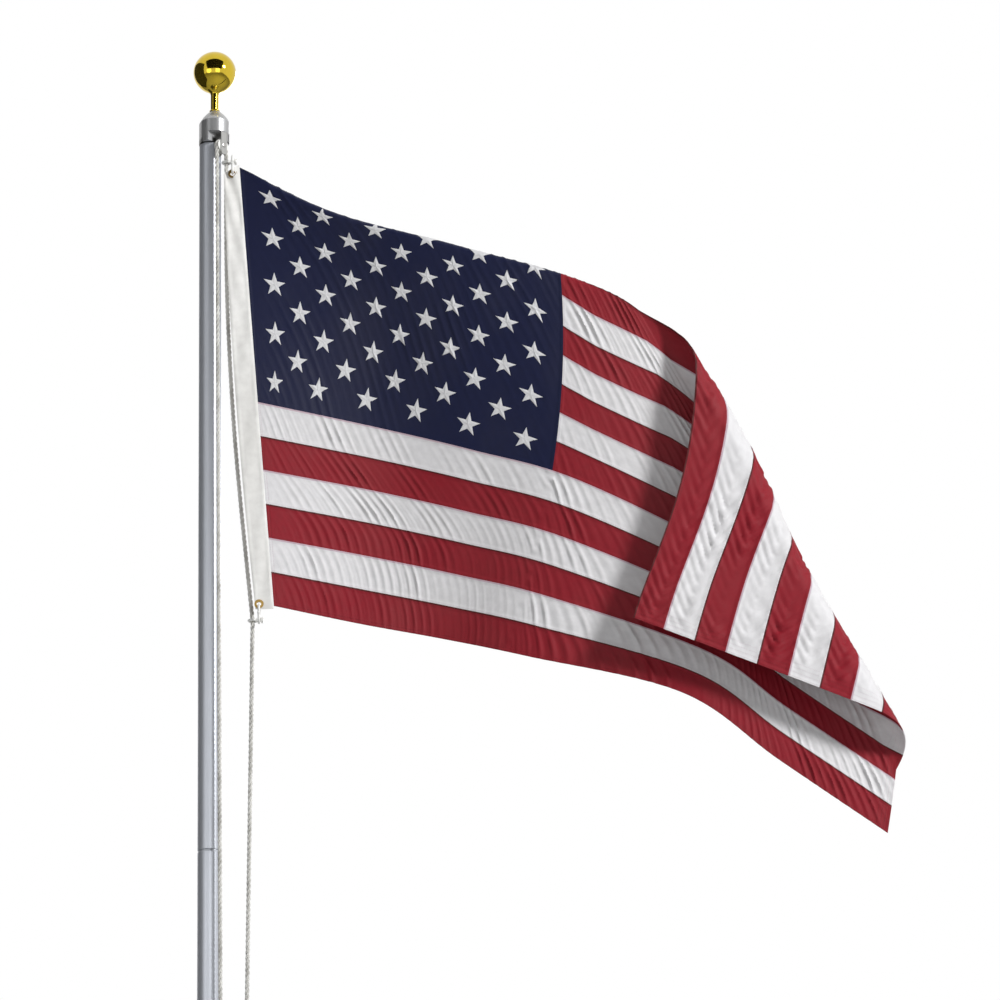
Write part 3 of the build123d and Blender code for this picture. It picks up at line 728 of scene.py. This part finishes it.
    def surface(self, fly, hoist, lifts):
        """Points on the wrinkled cloth, once for each lift along its normal."""
        fly = np.clip(fly, 0.0, self.fly)
        hoist = np.clip(hoist, 0.0, self.hoist)
        square = self.normal(fly, hoist)
        base = self.point(fly, hoist) + square * self.wrinkle(fly, hoist)[:, None]
        return [base + square * np.reshape(lift, (-1, 1)) for lift in lifts]


class Skin:
    """Points, faces and UVs that grow until they become one piece."""

    def __init__(self):
        self.points, self.faces, self.uvs = [], [], []

    def add(self, points, uvs):
        """Adds points and gives the number of the first one."""
        first = len(self.points)
        self.points.extend(points.tolist())
        self.uvs.extend(uvs)
        return first

    def sheet(self, sides, uvs, columns, rows):
        """Closed sheet from the points of its front and back, rows running fastest."""
        first, under = (self.add(side, uvs) for side in sides)

        def front(i, j):
            return first + i * (rows + 1) + j

        def back(i, j):
            return front(i, j) + under - first

        add = self.faces.append
        for i in range(columns):
            for j in range(rows):
                add((front(i, j), front(i, j + 1), front(i + 1, j + 1), front(i + 1, j)))
                add((back(i, j), back(i + 1, j), back(i + 1, j + 1), back(i, j + 1)))
        for i in range(columns):
            add((front(i, 0), front(i + 1, 0), back(i + 1, 0), back(i, 0)))
            add((front(i, rows), back(i, rows), back(i + 1, rows), front(i + 1, rows)))
        for j in range(rows):
            add((front(0, j), back(0, j), back(0, j + 1), front(0, j + 1)))
            add((front(columns, j), front(columns, j + 1), back(columns, j + 1),
                 back(columns, j)))

    def piece(self, name):
        return mesh_piece(name, self.points, self.faces, self.uvs)


def grid_places(columns, rows):
    """Column and row number of each point of a grid, rows running fastest."""
    places = np.meshgrid(range(columns + 1), range(rows + 1), indexing="ij")
    return [place.ravel() for place in places]


def panel_stations(start, end, cells, seam):
    """Stations across a panel: its two felled bands, their steps and the cells between."""
    step = 0.0012
    low, high = start + seam + step, end - seam - step
    between = [low + (high - low) * i / cells for i in range(cells + 1)]
    return [start, start + seam, *between, end - seam, end]


def cloth_panel(cloth, skin, flies, hoists):
    """Adds one closed panel of cloth, thicker in the bands along its edges."""
    columns, rows = len(flies) - 1, len(hoists) - 1
    i, j = grid_places(columns, rows)
    fly, hoist = np.array(flies)[i], np.array(hoists)[j]
    band = (i <= 1) | (i >= columns - 1) | (j <= 1) | (j >= rows - 1)
    edge = (i == 0) | (i == columns) | (j == 0) | (j == rows)
    thick = np.where(band, cloth.settings.seam_thickness, cloth.settings.thickness)
    lift = thick / 2 * np.where(edge, 0.8, 1.0)
    sides = cloth.surface(fly, hoist, (lift, -lift))
    skin.sheet(sides, list(zip(fly.tolist(), hoist.tolist())), columns, rows)


class FLAGPOLE_OT_cloth(bpy.types.Operator):
    """Sew the canton and the stripes as wrinkled cloth with raised seams"""
    bl_idname = "flagpole.cloth"
    bl_label = "Flag cloth"

    canton_columns, canton_rows = 210, 84
    free_columns, stripe_rows = 290, 11

    def execute(self, context):
        cloth = Cloth(context.scene.flag_cloth)
        seam = cloth.settings.seam_half_width
        canton_flies = panel_stations(0, cloth.canton_width, self.canton_columns, seam)
        free_flies = panel_stations(cloth.canton_width, cloth.fly, self.free_columns, seam)
        long_flies = canton_flies[:-2] + free_flies[1:]
        for paint, start in (("red", 1), ("white", 2)):
            skin, nodes, area = Skin(), [], 0.0
            for stripe in range(start, stripe_count + 1, 2):
                hoists = panel_stations((stripe - 1) * cloth.stripe, stripe * cloth.stripe,
                                        self.stripe_rows, seam)
                flies = free_flies if stripe <= canton_stripes else long_flies
                cloth_panel(cloth, skin, flies, hoists)
                area += (flies[-1] - flies[0]) * cloth.stripe
                nodes.append(f"flag_stripe_{stripe:02d}")
            piece = skin.piece(f"{paint}_stripes")
            smooth(piece, 50)
            dress(piece, f"flag_{paint}", MAST, *nodes)
        skin = Skin()
        hoists = panel_stations(0, cloth.canton_height, self.canton_rows, seam)
        cloth_panel(cloth, skin, canton_flies, hoists)
        canton = skin.piece("canton")
        smooth(canton, 50)
        dress(canton, "flag_blue", MAST, "flag_canton")
        return {"FINISHED"}


class FLAGPOLE_OT_stars(bpy.types.Operator):
    """Embroider fifty stars on each face of the canton"""
    bl_idname = "flagpole.stars"
    bl_label = "Stars"

    rows: bpy.props.IntProperty(name="Rows", description="Rows of stars", default=9)
    columns: bpy.props.IntProperty(name="Columns", description="Columns of stars", default=11)

    def execute(self, context):
        cloth = Cloth(context.scene.flag_cloth)
        skin = Skin()
        for side in (1, -1):
            for row in range(1, self.rows + 1):
                for column in range(1, self.columns + 1):
                    if (row + column) % 2 == 0:
                        fly = column * cloth.canton_width / (self.columns + 1)
                        hoist = row * cloth.canton_height / (self.rows + 1)
                        self.star(cloth, skin, fly, hoist, side)
        piece = skin.piece("canton_stars")
        smooth(piece, 60)
        dress(piece, "star_thread", MAST)
        return {"FINISHED"}

    def outline(self, outer, inner):
        """Corners of a star and points along its straight edges, with a ridge share each."""
        corners = []
        for corner in range(10):
            reach = inner if corner % 2 else outer
            turn = math.pi * corner / 5
            corners.append((reach * math.sin(turn), -reach * math.cos(turn)))
        spots = []
        for corner, (start, end) in enumerate(zip(corners, corners[1:] + corners[:1])):
            for step in range(3):
                share = step / 3
                ridge = share if corner % 2 else 1 - share
                spots.append((start[0] + (end[0] - start[0]) * share,
                              start[1] + (end[1] - start[1]) * share, ridge))
        return spots

    def star(self, cloth, skin, fly, hoist, side):
        """One star: five arms, each ridged along its middle, on the cloth's face."""
        rings, inner_share = 5, 0.385
        edge_lift, arm_lift, ridge_lift = 0.0002, 0.0005, 0.0008
        radius = cloth.settings.star_radius
        spots = self.outline(radius, radius * inner_share)
        x, y, lift, uvs = [fly], [hoist], [arm_lift + ridge_lift], [(0.0, 0.0)]
        for ring in range(1, rings + 1):
            share = ring / rings
            for across, down, ridge in spots:
                x.append(fly + across * share)
                y.append(hoist + down * share)
                crown = arm_lift + ridge_lift * ridge * (1 - share**2)
                lift.append(crown if ring < rings else edge_lift)
                uvs.append((math.hypot(across, down) * share, share * ridge * 0.01))
        lift = side * (np.array(lift) + cloth.settings.thickness / 2)
        start = skin.add(cloth.surface(np.array(x), np.array(y), (lift,))[0], uvs)
        turn = -side
        for spoke in range(len(spots)):
            after = (spoke + 1) % len(spots)
            skin.faces.append((start, start + 1 + spoke, start + 1 + after)[::turn])
            for ring in range(rings - 1):
                low = start + 1 + ring * len(spots)
                high = low + len(spots)
                skin.faces.append((low + spoke, high + spoke, high + after, low + after)[::turn])


class FLAGPOLE_OT_stitches(bpy.types.Operator):
    """Sew the seams, hems and heading with rows of lock stitches on both faces"""
    bl_idname = "flagpole.stitches"
    bl_label = "Stitches"

    pitch: length("Pitch", "Length of a stitch with its gap", 0.0036)
    width: length("Thread width", "Width of the thread", 0.0006)

    def execute(self, context):
        cloth = Cloth(context.scene.flag_cloth)
        for paint, ends in self.stitches(cloth).items():
            self.sew(f"{paint}_stitches", cloth, np.array(ends), f"flag_{paint}")
        return {"FINISHED"}

    def seam_rows(self, cloth):
        """Start and end of each row of stitches, as places along the fly and the hoist."""
        inset, end, gap = 0.0028, cloth.fly, 0.004
        rows = []
        for seam in range(1, stripe_count):
            level = seam * cloth.stripe
            start = cloth.canton_width if seam < canton_stripes else 0.0
            for offset in (-inset, inset):
                rows.append(((start + gap, level + offset), (end - 0.002, level + offset)))
        for level in (0.0025, 0.0075, cloth.hoist - 0.0075, cloth.hoist - 0.0025):
            rows.append(((gap, level), (end - 0.002, level)))
        for offset in (0.0025, 0.0105, 0.0185, 0.0265):
            rows.append(((end - offset, 0.003), (end - offset, cloth.hoist - 0.003)))
        for fly in (cloth.canton_width - inset, cloth.canton_width + inset):
            rows.append(((fly, gap), (fly, cloth.canton_height - gap)))
        for fly in (0.003, 0.008):
            rows.append(((fly, gap), (fly, cloth.hoist - gap)))
        return rows

    def stitches(self, cloth):
        """Both ends of each stitch, gathered by the colour of the cloth beneath."""
        thread_share = 0.76
        threads = {"red": [], "white": [], "blue": []}
        for (fly, hoist), (last_fly, last_hoist) in self.seam_rows(cloth):
            run = math.hypot(last_fly - fly, last_hoist - hoist)
            along = ((last_fly - fly) / run, (last_hoist - hoist) / run)
            for stitch in range(int(run / self.pitch)):
                begin, finish = stitch * self.pitch, (stitch + thread_share) * self.pitch
                x, y = fly + along[0] * begin, hoist + along[1] * begin
                paint = "white" if int(y / cloth.stripe) % 2 else "red"
                if x < cloth.canton_width and y < cloth.canton_height:
                    paint = "blue"
                threads[paint].append(
                    (x, y, fly + along[0] * finish, hoist + along[1] * finish))
        return threads

    def sew(self, name, cloth, ends, slot):
        """Raised thread on both faces of the cloth, one closed stitch at a time."""
        sunk, raised = 0.0003, 0.00035
        starts, ends = ends[:, :2], ends[:, 2:]
        middles = (starts + ends) / 2
        level = cloth.settings.seam_thickness / 2
        corner_uvs = [(0.0, 0.0), (0.001, 0.0), (0.001, 0.001), (0.001, 0.002),
                      (0.001, 0.003), (0.003, 0.0)]
        skin = Skin()
        for side in (1, -1):
            first = cloth.surface(*starts.T, (side * level,))[0]
            last = cloth.surface(*ends.T, (side * level,))[0]
            under, top = cloth.surface(*middles.T,
                                       (side * (level - sunk), side * (level + raised)))
            across = np.cross(last - first, top - under)
            across *= self.width / 2 / np.linalg.norm(across, axis=1)[:, None]
            middle = (under + top) / 2
            corners = np.stack(
                [first, middle + across, top, middle - across, under, last], axis=1)
            base = skin.add(corners.reshape(-1, 3), corner_uvs * len(starts))
            for stitch in range(len(starts)):
                a, b, c, d, e, f = range(base + 6 * stitch, base + 6 * stitch + 6)
                for near, far in ((b, c), (c, d), (d, e), (e, b)):
                    skin.faces.extend(((a, far, near), (f, near, far)))
        piece = skin.piece(name)
        outwards_normals(piece)
        dress(piece, slot, MAST)


# Ropes
def along_path(points, pitch):
    """Points at an even pitch along a polyline."""
    stations = [Vector(points[0])]
    left = pitch
    for start, end in zip(points, points[1:]):
        start, end = Vector(start), Vector(end)
        run = (end - start).length
        direction = (end - start).normalized()
        travelled = 0.0
        while run - travelled >= left:
            travelled += left
            stations.append(start + direction * travelled)
            left = pitch
        left -= run - travelled
    stations.append(Vector(points[-1]))
    return stations


def smooth_route(name, points):
    """Points of the smooth curve that the route's points control."""
    curve = bpy.data.curves.new(name, "CURVE")
    curve.dimensions = "3D"
    curve.resolution_u = 24
    spline = curve.splines.new("NURBS")
    spline.points.add(len(points) - 1)
    for spot, point in zip(spline.points, points):
        spot.co = (*point, 1.0)
    spline.order_u = 3
    spline.use_endpoint_u = True
    carrier = bpy.data.objects.new(name, curve)
    bpy.context.scene.collection.objects.link(carrier)
    bpy.context.view_layer.update()
    line = bpy.data.meshes.new_from_object(
        carrier.evaluated_get(bpy.context.evaluated_depsgraph_get()))
    route = [vertex.co.copy() for vertex in line.vertices]
    bpy.data.objects.remove(carrier)
    bpy.data.meshes.remove(line)
    bpy.data.curves.remove(curve)
    return route


def path_frames(path):
    """Two directions square to a path at each of its points, without twist."""
    frames = []
    for i, point in enumerate(path):
        ahead = path[min(i + 1, len(path) - 1)] - path[max(i - 1, 0)]
        tangent = ahead.normalized()
        if i == 0:
            side_axis = tangent.orthogonal().normalized()
        side_axis = (side_axis - tangent * side_axis.dot(tangent)).normalized()
        frames.append((side_axis, tangent.cross(side_axis)))
    return frames


def twisted_rope(name, route, radius, lay=0.034, pitch=0.0035):
    """Three strands laid round each other along a route."""
    strands, sides, strand_share = 3, 7, 0.48
    strand_radius = radius * strand_share
    lay_radius = radius - strand_radius
    path = along_path(route, pitch)
    frames = path_frames(path)
    points, faces, uvs = [], [], []
    for strand in range(strands):
        first = len(points)
        travelled = 0.0
        for i, centre in enumerate(path):
            if i:
                travelled += (path[i] - path[i - 1]).length
            turn = 2 * math.pi * (travelled / lay + strand / strands)
            first_axis, second_axis = frames[i]
            out = first_axis * math.cos(turn) + second_axis * math.sin(turn)
            around = second_axis * math.cos(turn) - first_axis * math.sin(turn)
            middle = centre + out * lay_radius
            for side in range(sides):
                angle = 2 * math.pi * side / sides
                points.append(middle + out * (strand_radius * math.cos(angle))
                              + around * (strand_radius * math.sin(angle)))
                uvs.append((angle * strand_radius, travelled))
        for low in range(first, len(points) - sides, sides):
            high = low + sides
            for side in range(sides):
                after = (side + 1) % sides
                faces.append((low + side, low + after, high + after, high + side))
        faces.append(tuple(range(first, first + sides))[::-1])
        faces.append(tuple(range(len(points) - sides, len(points))))
    piece = mesh_piece(name, points, faces, uvs)
    smooth(piece, 80)
    return piece


def snap_eye(node):
    """Centre of a snap's eye: at the left end of its box, level with the far arc."""
    low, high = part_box(node)
    reach, drop = 0.010, 0.0105
    level = high.z - drop if node == "snap_top" else low.z + drop
    return Vector((low.x + reach, high.y - reach, level))


class FLAGPOLE_OT_halyard(bpy.types.Operator):
    """Lay the halyard: two falls, the turn over the sheave, the hoist line and cleat turns"""
    bl_idname = "flagpole.halyard"
    bl_label = "Halyard"

    rope_radius = 0.0045
    sheave_reach = 0.0115
    truck_turn = math.radians(-45.0)
    hoist_line = ((0.031, -0.016, -0.257), (0.043, -0.016, -0.537), (0.060, -0.016, -0.757))

    def execute(self, context):
        top_eye, bottom_eye = snap_eye("snap_top"), snap_eye("snap_bottom")
        crown = self.crown(24)
        return_foot, *turns, flag_foot = self.cleat_points()
        hoist_points = [(x, y, truck_base + rise) for x, y, rise in self.hoist_line]
        routes = {
            "halyard_return_fall": [return_foot, crown[0]],
            "halyard_crown": [*crown, top_eye],
            "halyard_hoist_line": smooth_route("hoist", [top_eye, *hoist_points, bottom_eye]),
            "halyard_down_fall": [bottom_eye, flag_foot],
            "halyard_cleat_turns": smooth_route("turns", [return_foot, *turns, flag_foot]),
        }
        for node, route in routes.items():
            piece = twisted_rope(f"rope_{node[8:]}", route, self.rope_radius)
            dress(piece, "halyard_rope", MAST, node)
        return {"FINISHED"}

    def crown(self, steps):
        """Half turn over the sheave, from the return fall to the flag's side."""
        centre = box_centre("sheave")
        falls = Vector((-math.sin(self.truck_turn), math.cos(self.truck_turn), 0))
        points = []
        for step in range(steps + 1):
            turn = math.pi * step / steps
            points.append(centre - falls * (self.sheave_reach * math.cos(turn))
                          + Vector((0, 0, self.sheave_reach * math.sin(turn))))
        return points

    def cleat_points(self):
        """Route round the cleat's horns, from the return fall's foot to the flag's fall."""
        rope_gap, cleat_gap, horn_reach, lead_reach = 0.0143, 0.001, 0.045, 0.100
        return_y, flag_y, low_y, high_y = -0.031, 0.024, 0.020, -0.017
        beside = pole_radius + rope_gap
        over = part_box("cleat")[1].x + self.rope_radius + cleat_gap
        centre = box_centre("cleat").z
        low, high, lead = centre - horn_reach, centre + horn_reach, centre + lead_reach
        return [Vector(point) for point in (
            (beside, return_y, lead), (beside, return_y, low + 0.03), (beside, return_y, low),
            (beside, low_y, low), (over, low_y, low + 0.010), (over, high_y, high - 0.010),
            (beside, high_y, high), (beside, flag_y, high), (beside, flag_y, high + 0.025),
            (beside, flag_y, lead))]


class FLAGPOLE_OT_heading(bpy.types.Operator):
    """Fold the canvas heading along the hoist"""
    bl_idname = "flagpole.heading"
    bl_label = "Canvas heading"

    half_thickness = 0.0011
    edge_share, hem_share = 0.6, 1.35
    plane_y = -0.026
    right_top, right_run = 0.0591, 0.067
    corner_slope, corner_share = 0.018, 0.10
    long_crease, short_crease = 0.0019, 0.0007
    hole_radius = 0.0061

    def execute(self, context):
        columns, rows = 16, 190
        low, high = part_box("flag_heading")
        i, j = grid_places(columns, rows)
        share, drop = i / columns, j / rows
        left, right = self.left_edge(drop), self.right_top + self.right_run * drop
        x = left + (right - left) * share
        slope = self.corner_slope * (1 - share) * np.maximum(0, 1 - drop / self.corner_share)
        z = high.z - (high.z - low.z) * drop - slope
        wave = 2 * math.pi
        crease = (self.long_crease * np.exp(-5 * drop)
                  * np.sin(wave * (share * 1.3 - drop * 7.0))
                  + self.short_crease * np.sin(wave * (share * 0.9 + drop * 5.0)))
        middle = self.plane_y + crease * np.minimum(1.0, 6 * np.minimum(share, 1 - share))
        outer = (i == 0) | (i == columns) | (j == 0) | (j == rows)
        hem = np.isin(i, (1, 2, columns - 2, columns - 1))
        half = (self.half_thickness * np.where(outer, self.edge_share, 1.0)
                * np.where(hem, self.hem_share, 1.0))
        sides = [np.stack([x, middle - side * half, z], axis=1) for side in (1, -1)]
        skin = Skin()
        skin.sheet(sides, list(zip(x.tolist(), z.tolist())), columns, rows)
        piece = skin.piece("flag_heading_canvas")
        for node in ("grommet_top", "grommet_bottom"):
            self.punch(piece, box_centre(node))
        smooth(piece, 50)
        dress(piece, "heading_canvas", MAST, "flag_heading")
        return {"FINISHED"}

    def left_edge(self, drop):
        """The heading's left edge: a shallow arc through three places of the solid one."""
        top, middle, foot = 0.0281, 0.0530, 0.0911
        place = 0.542
        return (top * (drop - place) * (drop - 1) / place
                + middle * drop * (drop - 1) / (place * (place - 1))
                + foot * drop * (drop - place) / (1 - place))

    def punch(self, piece, centre):
        """Cuts the round hole that a grommet lines."""
        bpy.ops.object.select_all(action="DESELECT")
        bpy.ops.mesh.primitive_cylinder_add(
            vertices=48, radius=self.hole_radius, depth=0.03, location=centre,
            rotation=(math.pi / 2, 0, 0))
        cutter = bpy.context.object
        select_only(piece)
        cut = piece.modifiers.new("hole", "BOOLEAN")
        cut.operation = "DIFFERENCE"
        cut.solver = "EXACT"
        cut.object = cutter
        bpy.ops.object.modifier_apply(modifier=cut.name)
        bpy.data.objects.remove(cutter)


class FLAGPOLE_OT_ball(bpy.types.Operator):
    """Turn the ball finial and its stem"""
    bl_idname = "flagpole.ball"
    bl_label = "Ball finial"

    stem_radius = 0.008

    def execute(self, context):
        low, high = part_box("ball_finial")
        radius = (high.x - low.x) / 2
        centre = Vector(((low.x + high.x) / 2, (low.y + high.y) / 2, high.z - radius))
        foot = low.z - centre.z
        profile = [(0.0, foot), (0.0085, foot), (0.0087, foot + 0.0015),
                   (0.0100, foot + 0.0030), (0.0125, foot + 0.0050)]
        neck, dimple, steps = math.asin(0.38), 0.05, 63
        for step in range(steps + 1):
            angle = -math.pi / 2 + neck + (math.pi - neck - dimple) * step / steps
            profile.append((radius * math.cos(angle), radius * math.sin(angle)))
        rim, top = profile[-1]
        profile += [(rim * 0.85, top - 0.0008), (rim * 0.8, top - 0.008), (0.0, top - 0.008)]
        ball = turned("gold_ball", profile, steps=128, place=centre)
        foot, head = (corner.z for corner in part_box("ball_stem"))
        collar = foot + 0.008
        stem = turned("gold_stem", [
            (0.0, foot), (self.stem_radius, foot), (self.stem_radius, collar),
            (0.0102, collar), (0.0105, collar + 0.0004), (0.0105, collar + 0.0018),
            (0.0098, collar + 0.0028), (self.stem_radius, collar + 0.004),
            (self.stem_radius, head), (0.0, head)], steps=64, place=(centre.x, centre.y, 0))
        for piece, node in ((ball, "ball_finial"), (stem, "ball_stem")):
            smooth(piece, 40)
            dress(piece, "gold", MAST, node)
        return {"FINISHED"}


class FLAGPOLE_OT_pole(bpy.types.Operator):
    """Turn the pole's tubes with their necks and rounded lips"""
    bl_idname = "flagpole.pole"
    bl_label = "Pole sections"

    sections = 4
    wall: length("Wall", "Wall of the tube", 0.0016)
    shoulder: length("Shoulder", "Height of the cone above a tube", 0.005)
    neck: length("Neck", "Length of the neck", 0.060)

    def execute(self, context):
        wall, lip, slide = self.wall, 0.0006, 0.0003
        bore = pole_radius - wall
        neck = bore - slide
        for section in range(1, self.sections + 1):
            node = f"pole_section_{section}"
            foot, head = (corner.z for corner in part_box(node))
            if section < self.sections:
                tip, head = head, head - self.neck
                crown = [(pole_radius, head - self.shoulder),
                         (pole_radius - 0.0004, head - 0.0044),
                         (neck + 0.0006, head - 0.0006), (neck, head), (neck, tip),
                         (neck - wall, tip), (neck - wall, head), (bore, head - self.shoulder)]
            else:
                crown = [(pole_radius, head - lip), (pole_radius - lip, head), (bore, head)]
            tube = turned(f"tube_{section}", [
                (bore, foot), (pole_radius - lip, foot), (pole_radius, foot + lip), *crown,
                (bore, foot)], steps=96)
            smooth(tube, 30)
            dress(tube, "pole_aluminium", MAST, node)
        return {"FINISHED"}


class FLAGPOLE_OT_finishes(bpy.types.Operator):
    """Give each solid that stays its finish"""
    bl_idname = "flagpole.finishes"
    bl_label = "Finishes of kept solids"

    kept = {
        "plug_plastic": ("foot_plug",), "truck_alloy": ("truck_cap",),
        "bright_metal": ("sheave_fork",), "sheave_nylon": ("sheave",),
        "steel": ("sheave_pin", "cleat_screw_lower", "cleat_screw_upper"),
        "cast_aluminium": ("cleat",), "snap_nylon": ("snap_top", "snap_bottom"),
        "grommet_brass": ("grommet_top", "grommet_bottom"),
    }

    def execute(self, context):
        for slot, nodes in self.kept.items():
            for node in nodes:
                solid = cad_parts[node]
                if not solid.material_slots:
                    solid.data.materials.append(None)
                for place in solid.material_slots:
                    place.material = finish_of(slot)
        return {"FINISHED"}


class FLAGPOLE_OT_stage(bpy.types.Operator):
    """Set the floor, the soft lamps, the white surround and the camera"""
    bl_idname = "flagpole.stage"
    bl_label = "Stage"

    # Name, place, target, size and power
    lamps = (
        ("key", (5.9, -4.3, 7.9), (0.6, 0.0, 4.7), 1.4, 470),
        ("fill", (-4.0, -7.5, 4.5), (0.4, 0.0, 4.4), 4.0, 60),
        ("rim", (1.5, 6.5, 7.0), (0.4, 0.0, 4.6), 3.0, 120),
    )
    # Cards seen only in polished metal, dark ones for painted dark reflections and a glowing one
    # for a painted highlight: name, place, target, size, grey and glow
    cards = (
        ("card_left", (-3.2, 0.4, 4.6), (0.0, 0.0, 4.4), (5.5, 7.0), 62, 0.0),
        ("card_front", (0.1, -2.5, 7.2), (0.0, 0.0, 5.65), (5.0, 3.2), 26, 0.0),
        ("card_bright", (1.3, -3.7, 6.3), (0.0, 0.0, 4.8), (1.7, 4.6), 235, 2.2),
    )

    def execute(self, context):
        settings = context.scene.flagpole_stage
        self.floor()
        self.surround(settings)
        for lamp in self.lamps:
            self.lamp(*lamp)
        for card in self.cards:
            self.card(*card)
        self.camera(context, settings)
        context.scene.view_settings.view_transform = "Standard"
        return {"FINISHED"}

    def plane(self, name, size, paints, grain):
        """Flat piece of the stage; its grain is the scale and detail of its unevenness."""
        bpy.ops.object.select_all(action="DESELECT")
        bpy.ops.mesh.primitive_plane_add(size=size, location=(0, 0, 0))
        plane = bpy.context.object
        plane.name = name
        material, tree, shader = material_start(f"{name}_paint")
        uneven = noise(tree, object_place(tree), *grain)
        fill(tree, shader, {
            "Base Color": mixed(tree, uneven, *paints), "Emission Color": (1, 1, 1, 1)})
        plane.data.materials.append(material)
        return plane, tree, shader

    def floor(self):
        """Pale floor that the camera sees a little brighter than it lights."""
        _, tree, shader = self.plane(
            "studio_floor", size=30, paints=(srgb(226, 226, 226), srgb(232, 232, 231)),
            grain=(1.5, 3.0))
        seen = put(tree, "ShaderNodeLightPath").outputs["Is Camera Ray"]
        fill(tree, shader, {"Roughness": 0.8,
                            "Emission Strength": maths(tree, "MULTIPLY", seen, 0.34)})

    def card(self, name, place, target, size, grey, glow):
        """Card that only shows in polished metal: a dark one paints dark reflections, a glowing
        one paints a highlight though it is no lamp.
        """
        shade = srgb(grey, grey, grey)
        card, tree, shader = self.plane(
            name, size=1, paints=(scaled_colour(shade, 0.85), shade), grain=(90.0,))
        fill(tree, shader, {"Roughness": 0.95, "Emission Strength": glow})
        card.location = place
        card.rotation_euler = self.facing(place, target, "Z")
        card.scale = (*size, 1)
        for ray in ("camera", "diffuse", "shadow", "transmission"):
            setattr(card, f"visible_{ray}", False)

    def facing(self, place, target, axis):
        return (Vector(target) - Vector(place)).to_track_quat(axis, "Y").to_euler()

    def surround(self, settings):
        """White surround that lights the scene with less than the camera sees."""
        world = bpy.data.worlds.new("studio")
        world.use_nodes = True
        tree = world.node_tree
        tree.nodes.clear()
        rays = put(tree, "ShaderNodeLightPath").outputs
        seen = maths(tree, "MAXIMUM", rays["Is Camera Ray"],
                     maths(tree, "MAXIMUM", rays["Is Glossy Ray"], rays["Is Transmission Ray"]))
        strength = spread(tree, seen, 0, 1, settings.ambient, settings.backdrop)
        light = put(tree, "ShaderNodeBackground",
                    {"Color": (1, 1, 1, 1), "Strength": strength})
        put(tree, "ShaderNodeOutputWorld", {"Surface": light.outputs[0]})
        bpy.context.scene.world = world

    def lamp(self, name, place, target, size, power):
        light = bpy.data.lights.new(name, "AREA")
        light.shape = "DISK"
        light.size = size
        light.energy = power
        lamp = bpy.data.objects.new(name, light)
        lamp.location = place
        lamp.rotation_euler = self.facing(place, target, "-Z")
        bpy.context.scene.collection.objects.link(lamp)

    def camera(self, context, settings):
        """Camera that stands where the photo's stood, tilted up and rolled."""
        lens = bpy.data.cameras.new("camera")
        lens.lens = settings.lens
        lens.sensor_width = 36
        lens.clip_end = 100
        camera = bpy.data.objects.new("camera", lens)
        camera.matrix_world = (
            Matrix.Translation((settings.sideways, -settings.distance, settings.height))
            @ Matrix.Rotation(math.pi / 2 + settings.tilt, 4, "X")
            @ Matrix.Rotation(-settings.roll, 4, "Z"))
        context.scene.collection.objects.link(camera)
        context.scene.camera = camera


class FLAGPOLE_PT_panel(bpy.types.Panel):
    """Steps that dress the flagpole"""
    bl_idname = "FLAGPOLE_PT_panel"
    bl_label = "Flagpole"
    bl_space_type = "VIEW_3D"
    bl_region_type = "UI"
    bl_category = "Flagpole"

    def draw(self, context):
        for operator in operators:
            self.layout.operator(operator.bl_idname)


operators = [
    FLAGPOLE_OT_stage, FLAGPOLE_OT_pole, FLAGPOLE_OT_finishes, FLAGPOLE_OT_ball,
    FLAGPOLE_OT_halyard, FLAGPOLE_OT_heading, FLAGPOLE_OT_cloth, FLAGPOLE_OT_stars,
    FLAGPOLE_OT_stitches,
]
settings_groups = {"flag_cloth": FlagClothSettings, "flagpole_metal": FlagpoleMetalSettings,
                   "flagpole_stage": FlagpoleStageSettings}
classes = [*settings_groups.values(), *operators, FLAGPOLE_PT_panel]


def register():
    for item in classes:
        bpy.utils.register_class(item)
    for name, group in settings_groups.items():
        setattr(bpy.types.Scene, name, bpy.props.PointerProperty(type=group))


def unregister():
    for name in settings_groups:
        delattr(bpy.types.Scene, name)
    for item in reversed(classes):
        bpy.utils.unregister_class(item)


def main():
    register()
    bpy.ops.flagpole.stage()
    bpy.ops.flagpole.pole()
    bpy.ops.flagpole.finishes()
    bpy.ops.flagpole.ball()
    bpy.ops.flagpole.halyard()
    bpy.ops.flagpole.heading()
    bpy.ops.flagpole.cloth()
    bpy.ops.flagpole.stars()
    bpy.ops.flagpole.stitches()
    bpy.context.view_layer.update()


if __name__ == "__main__":
    main()
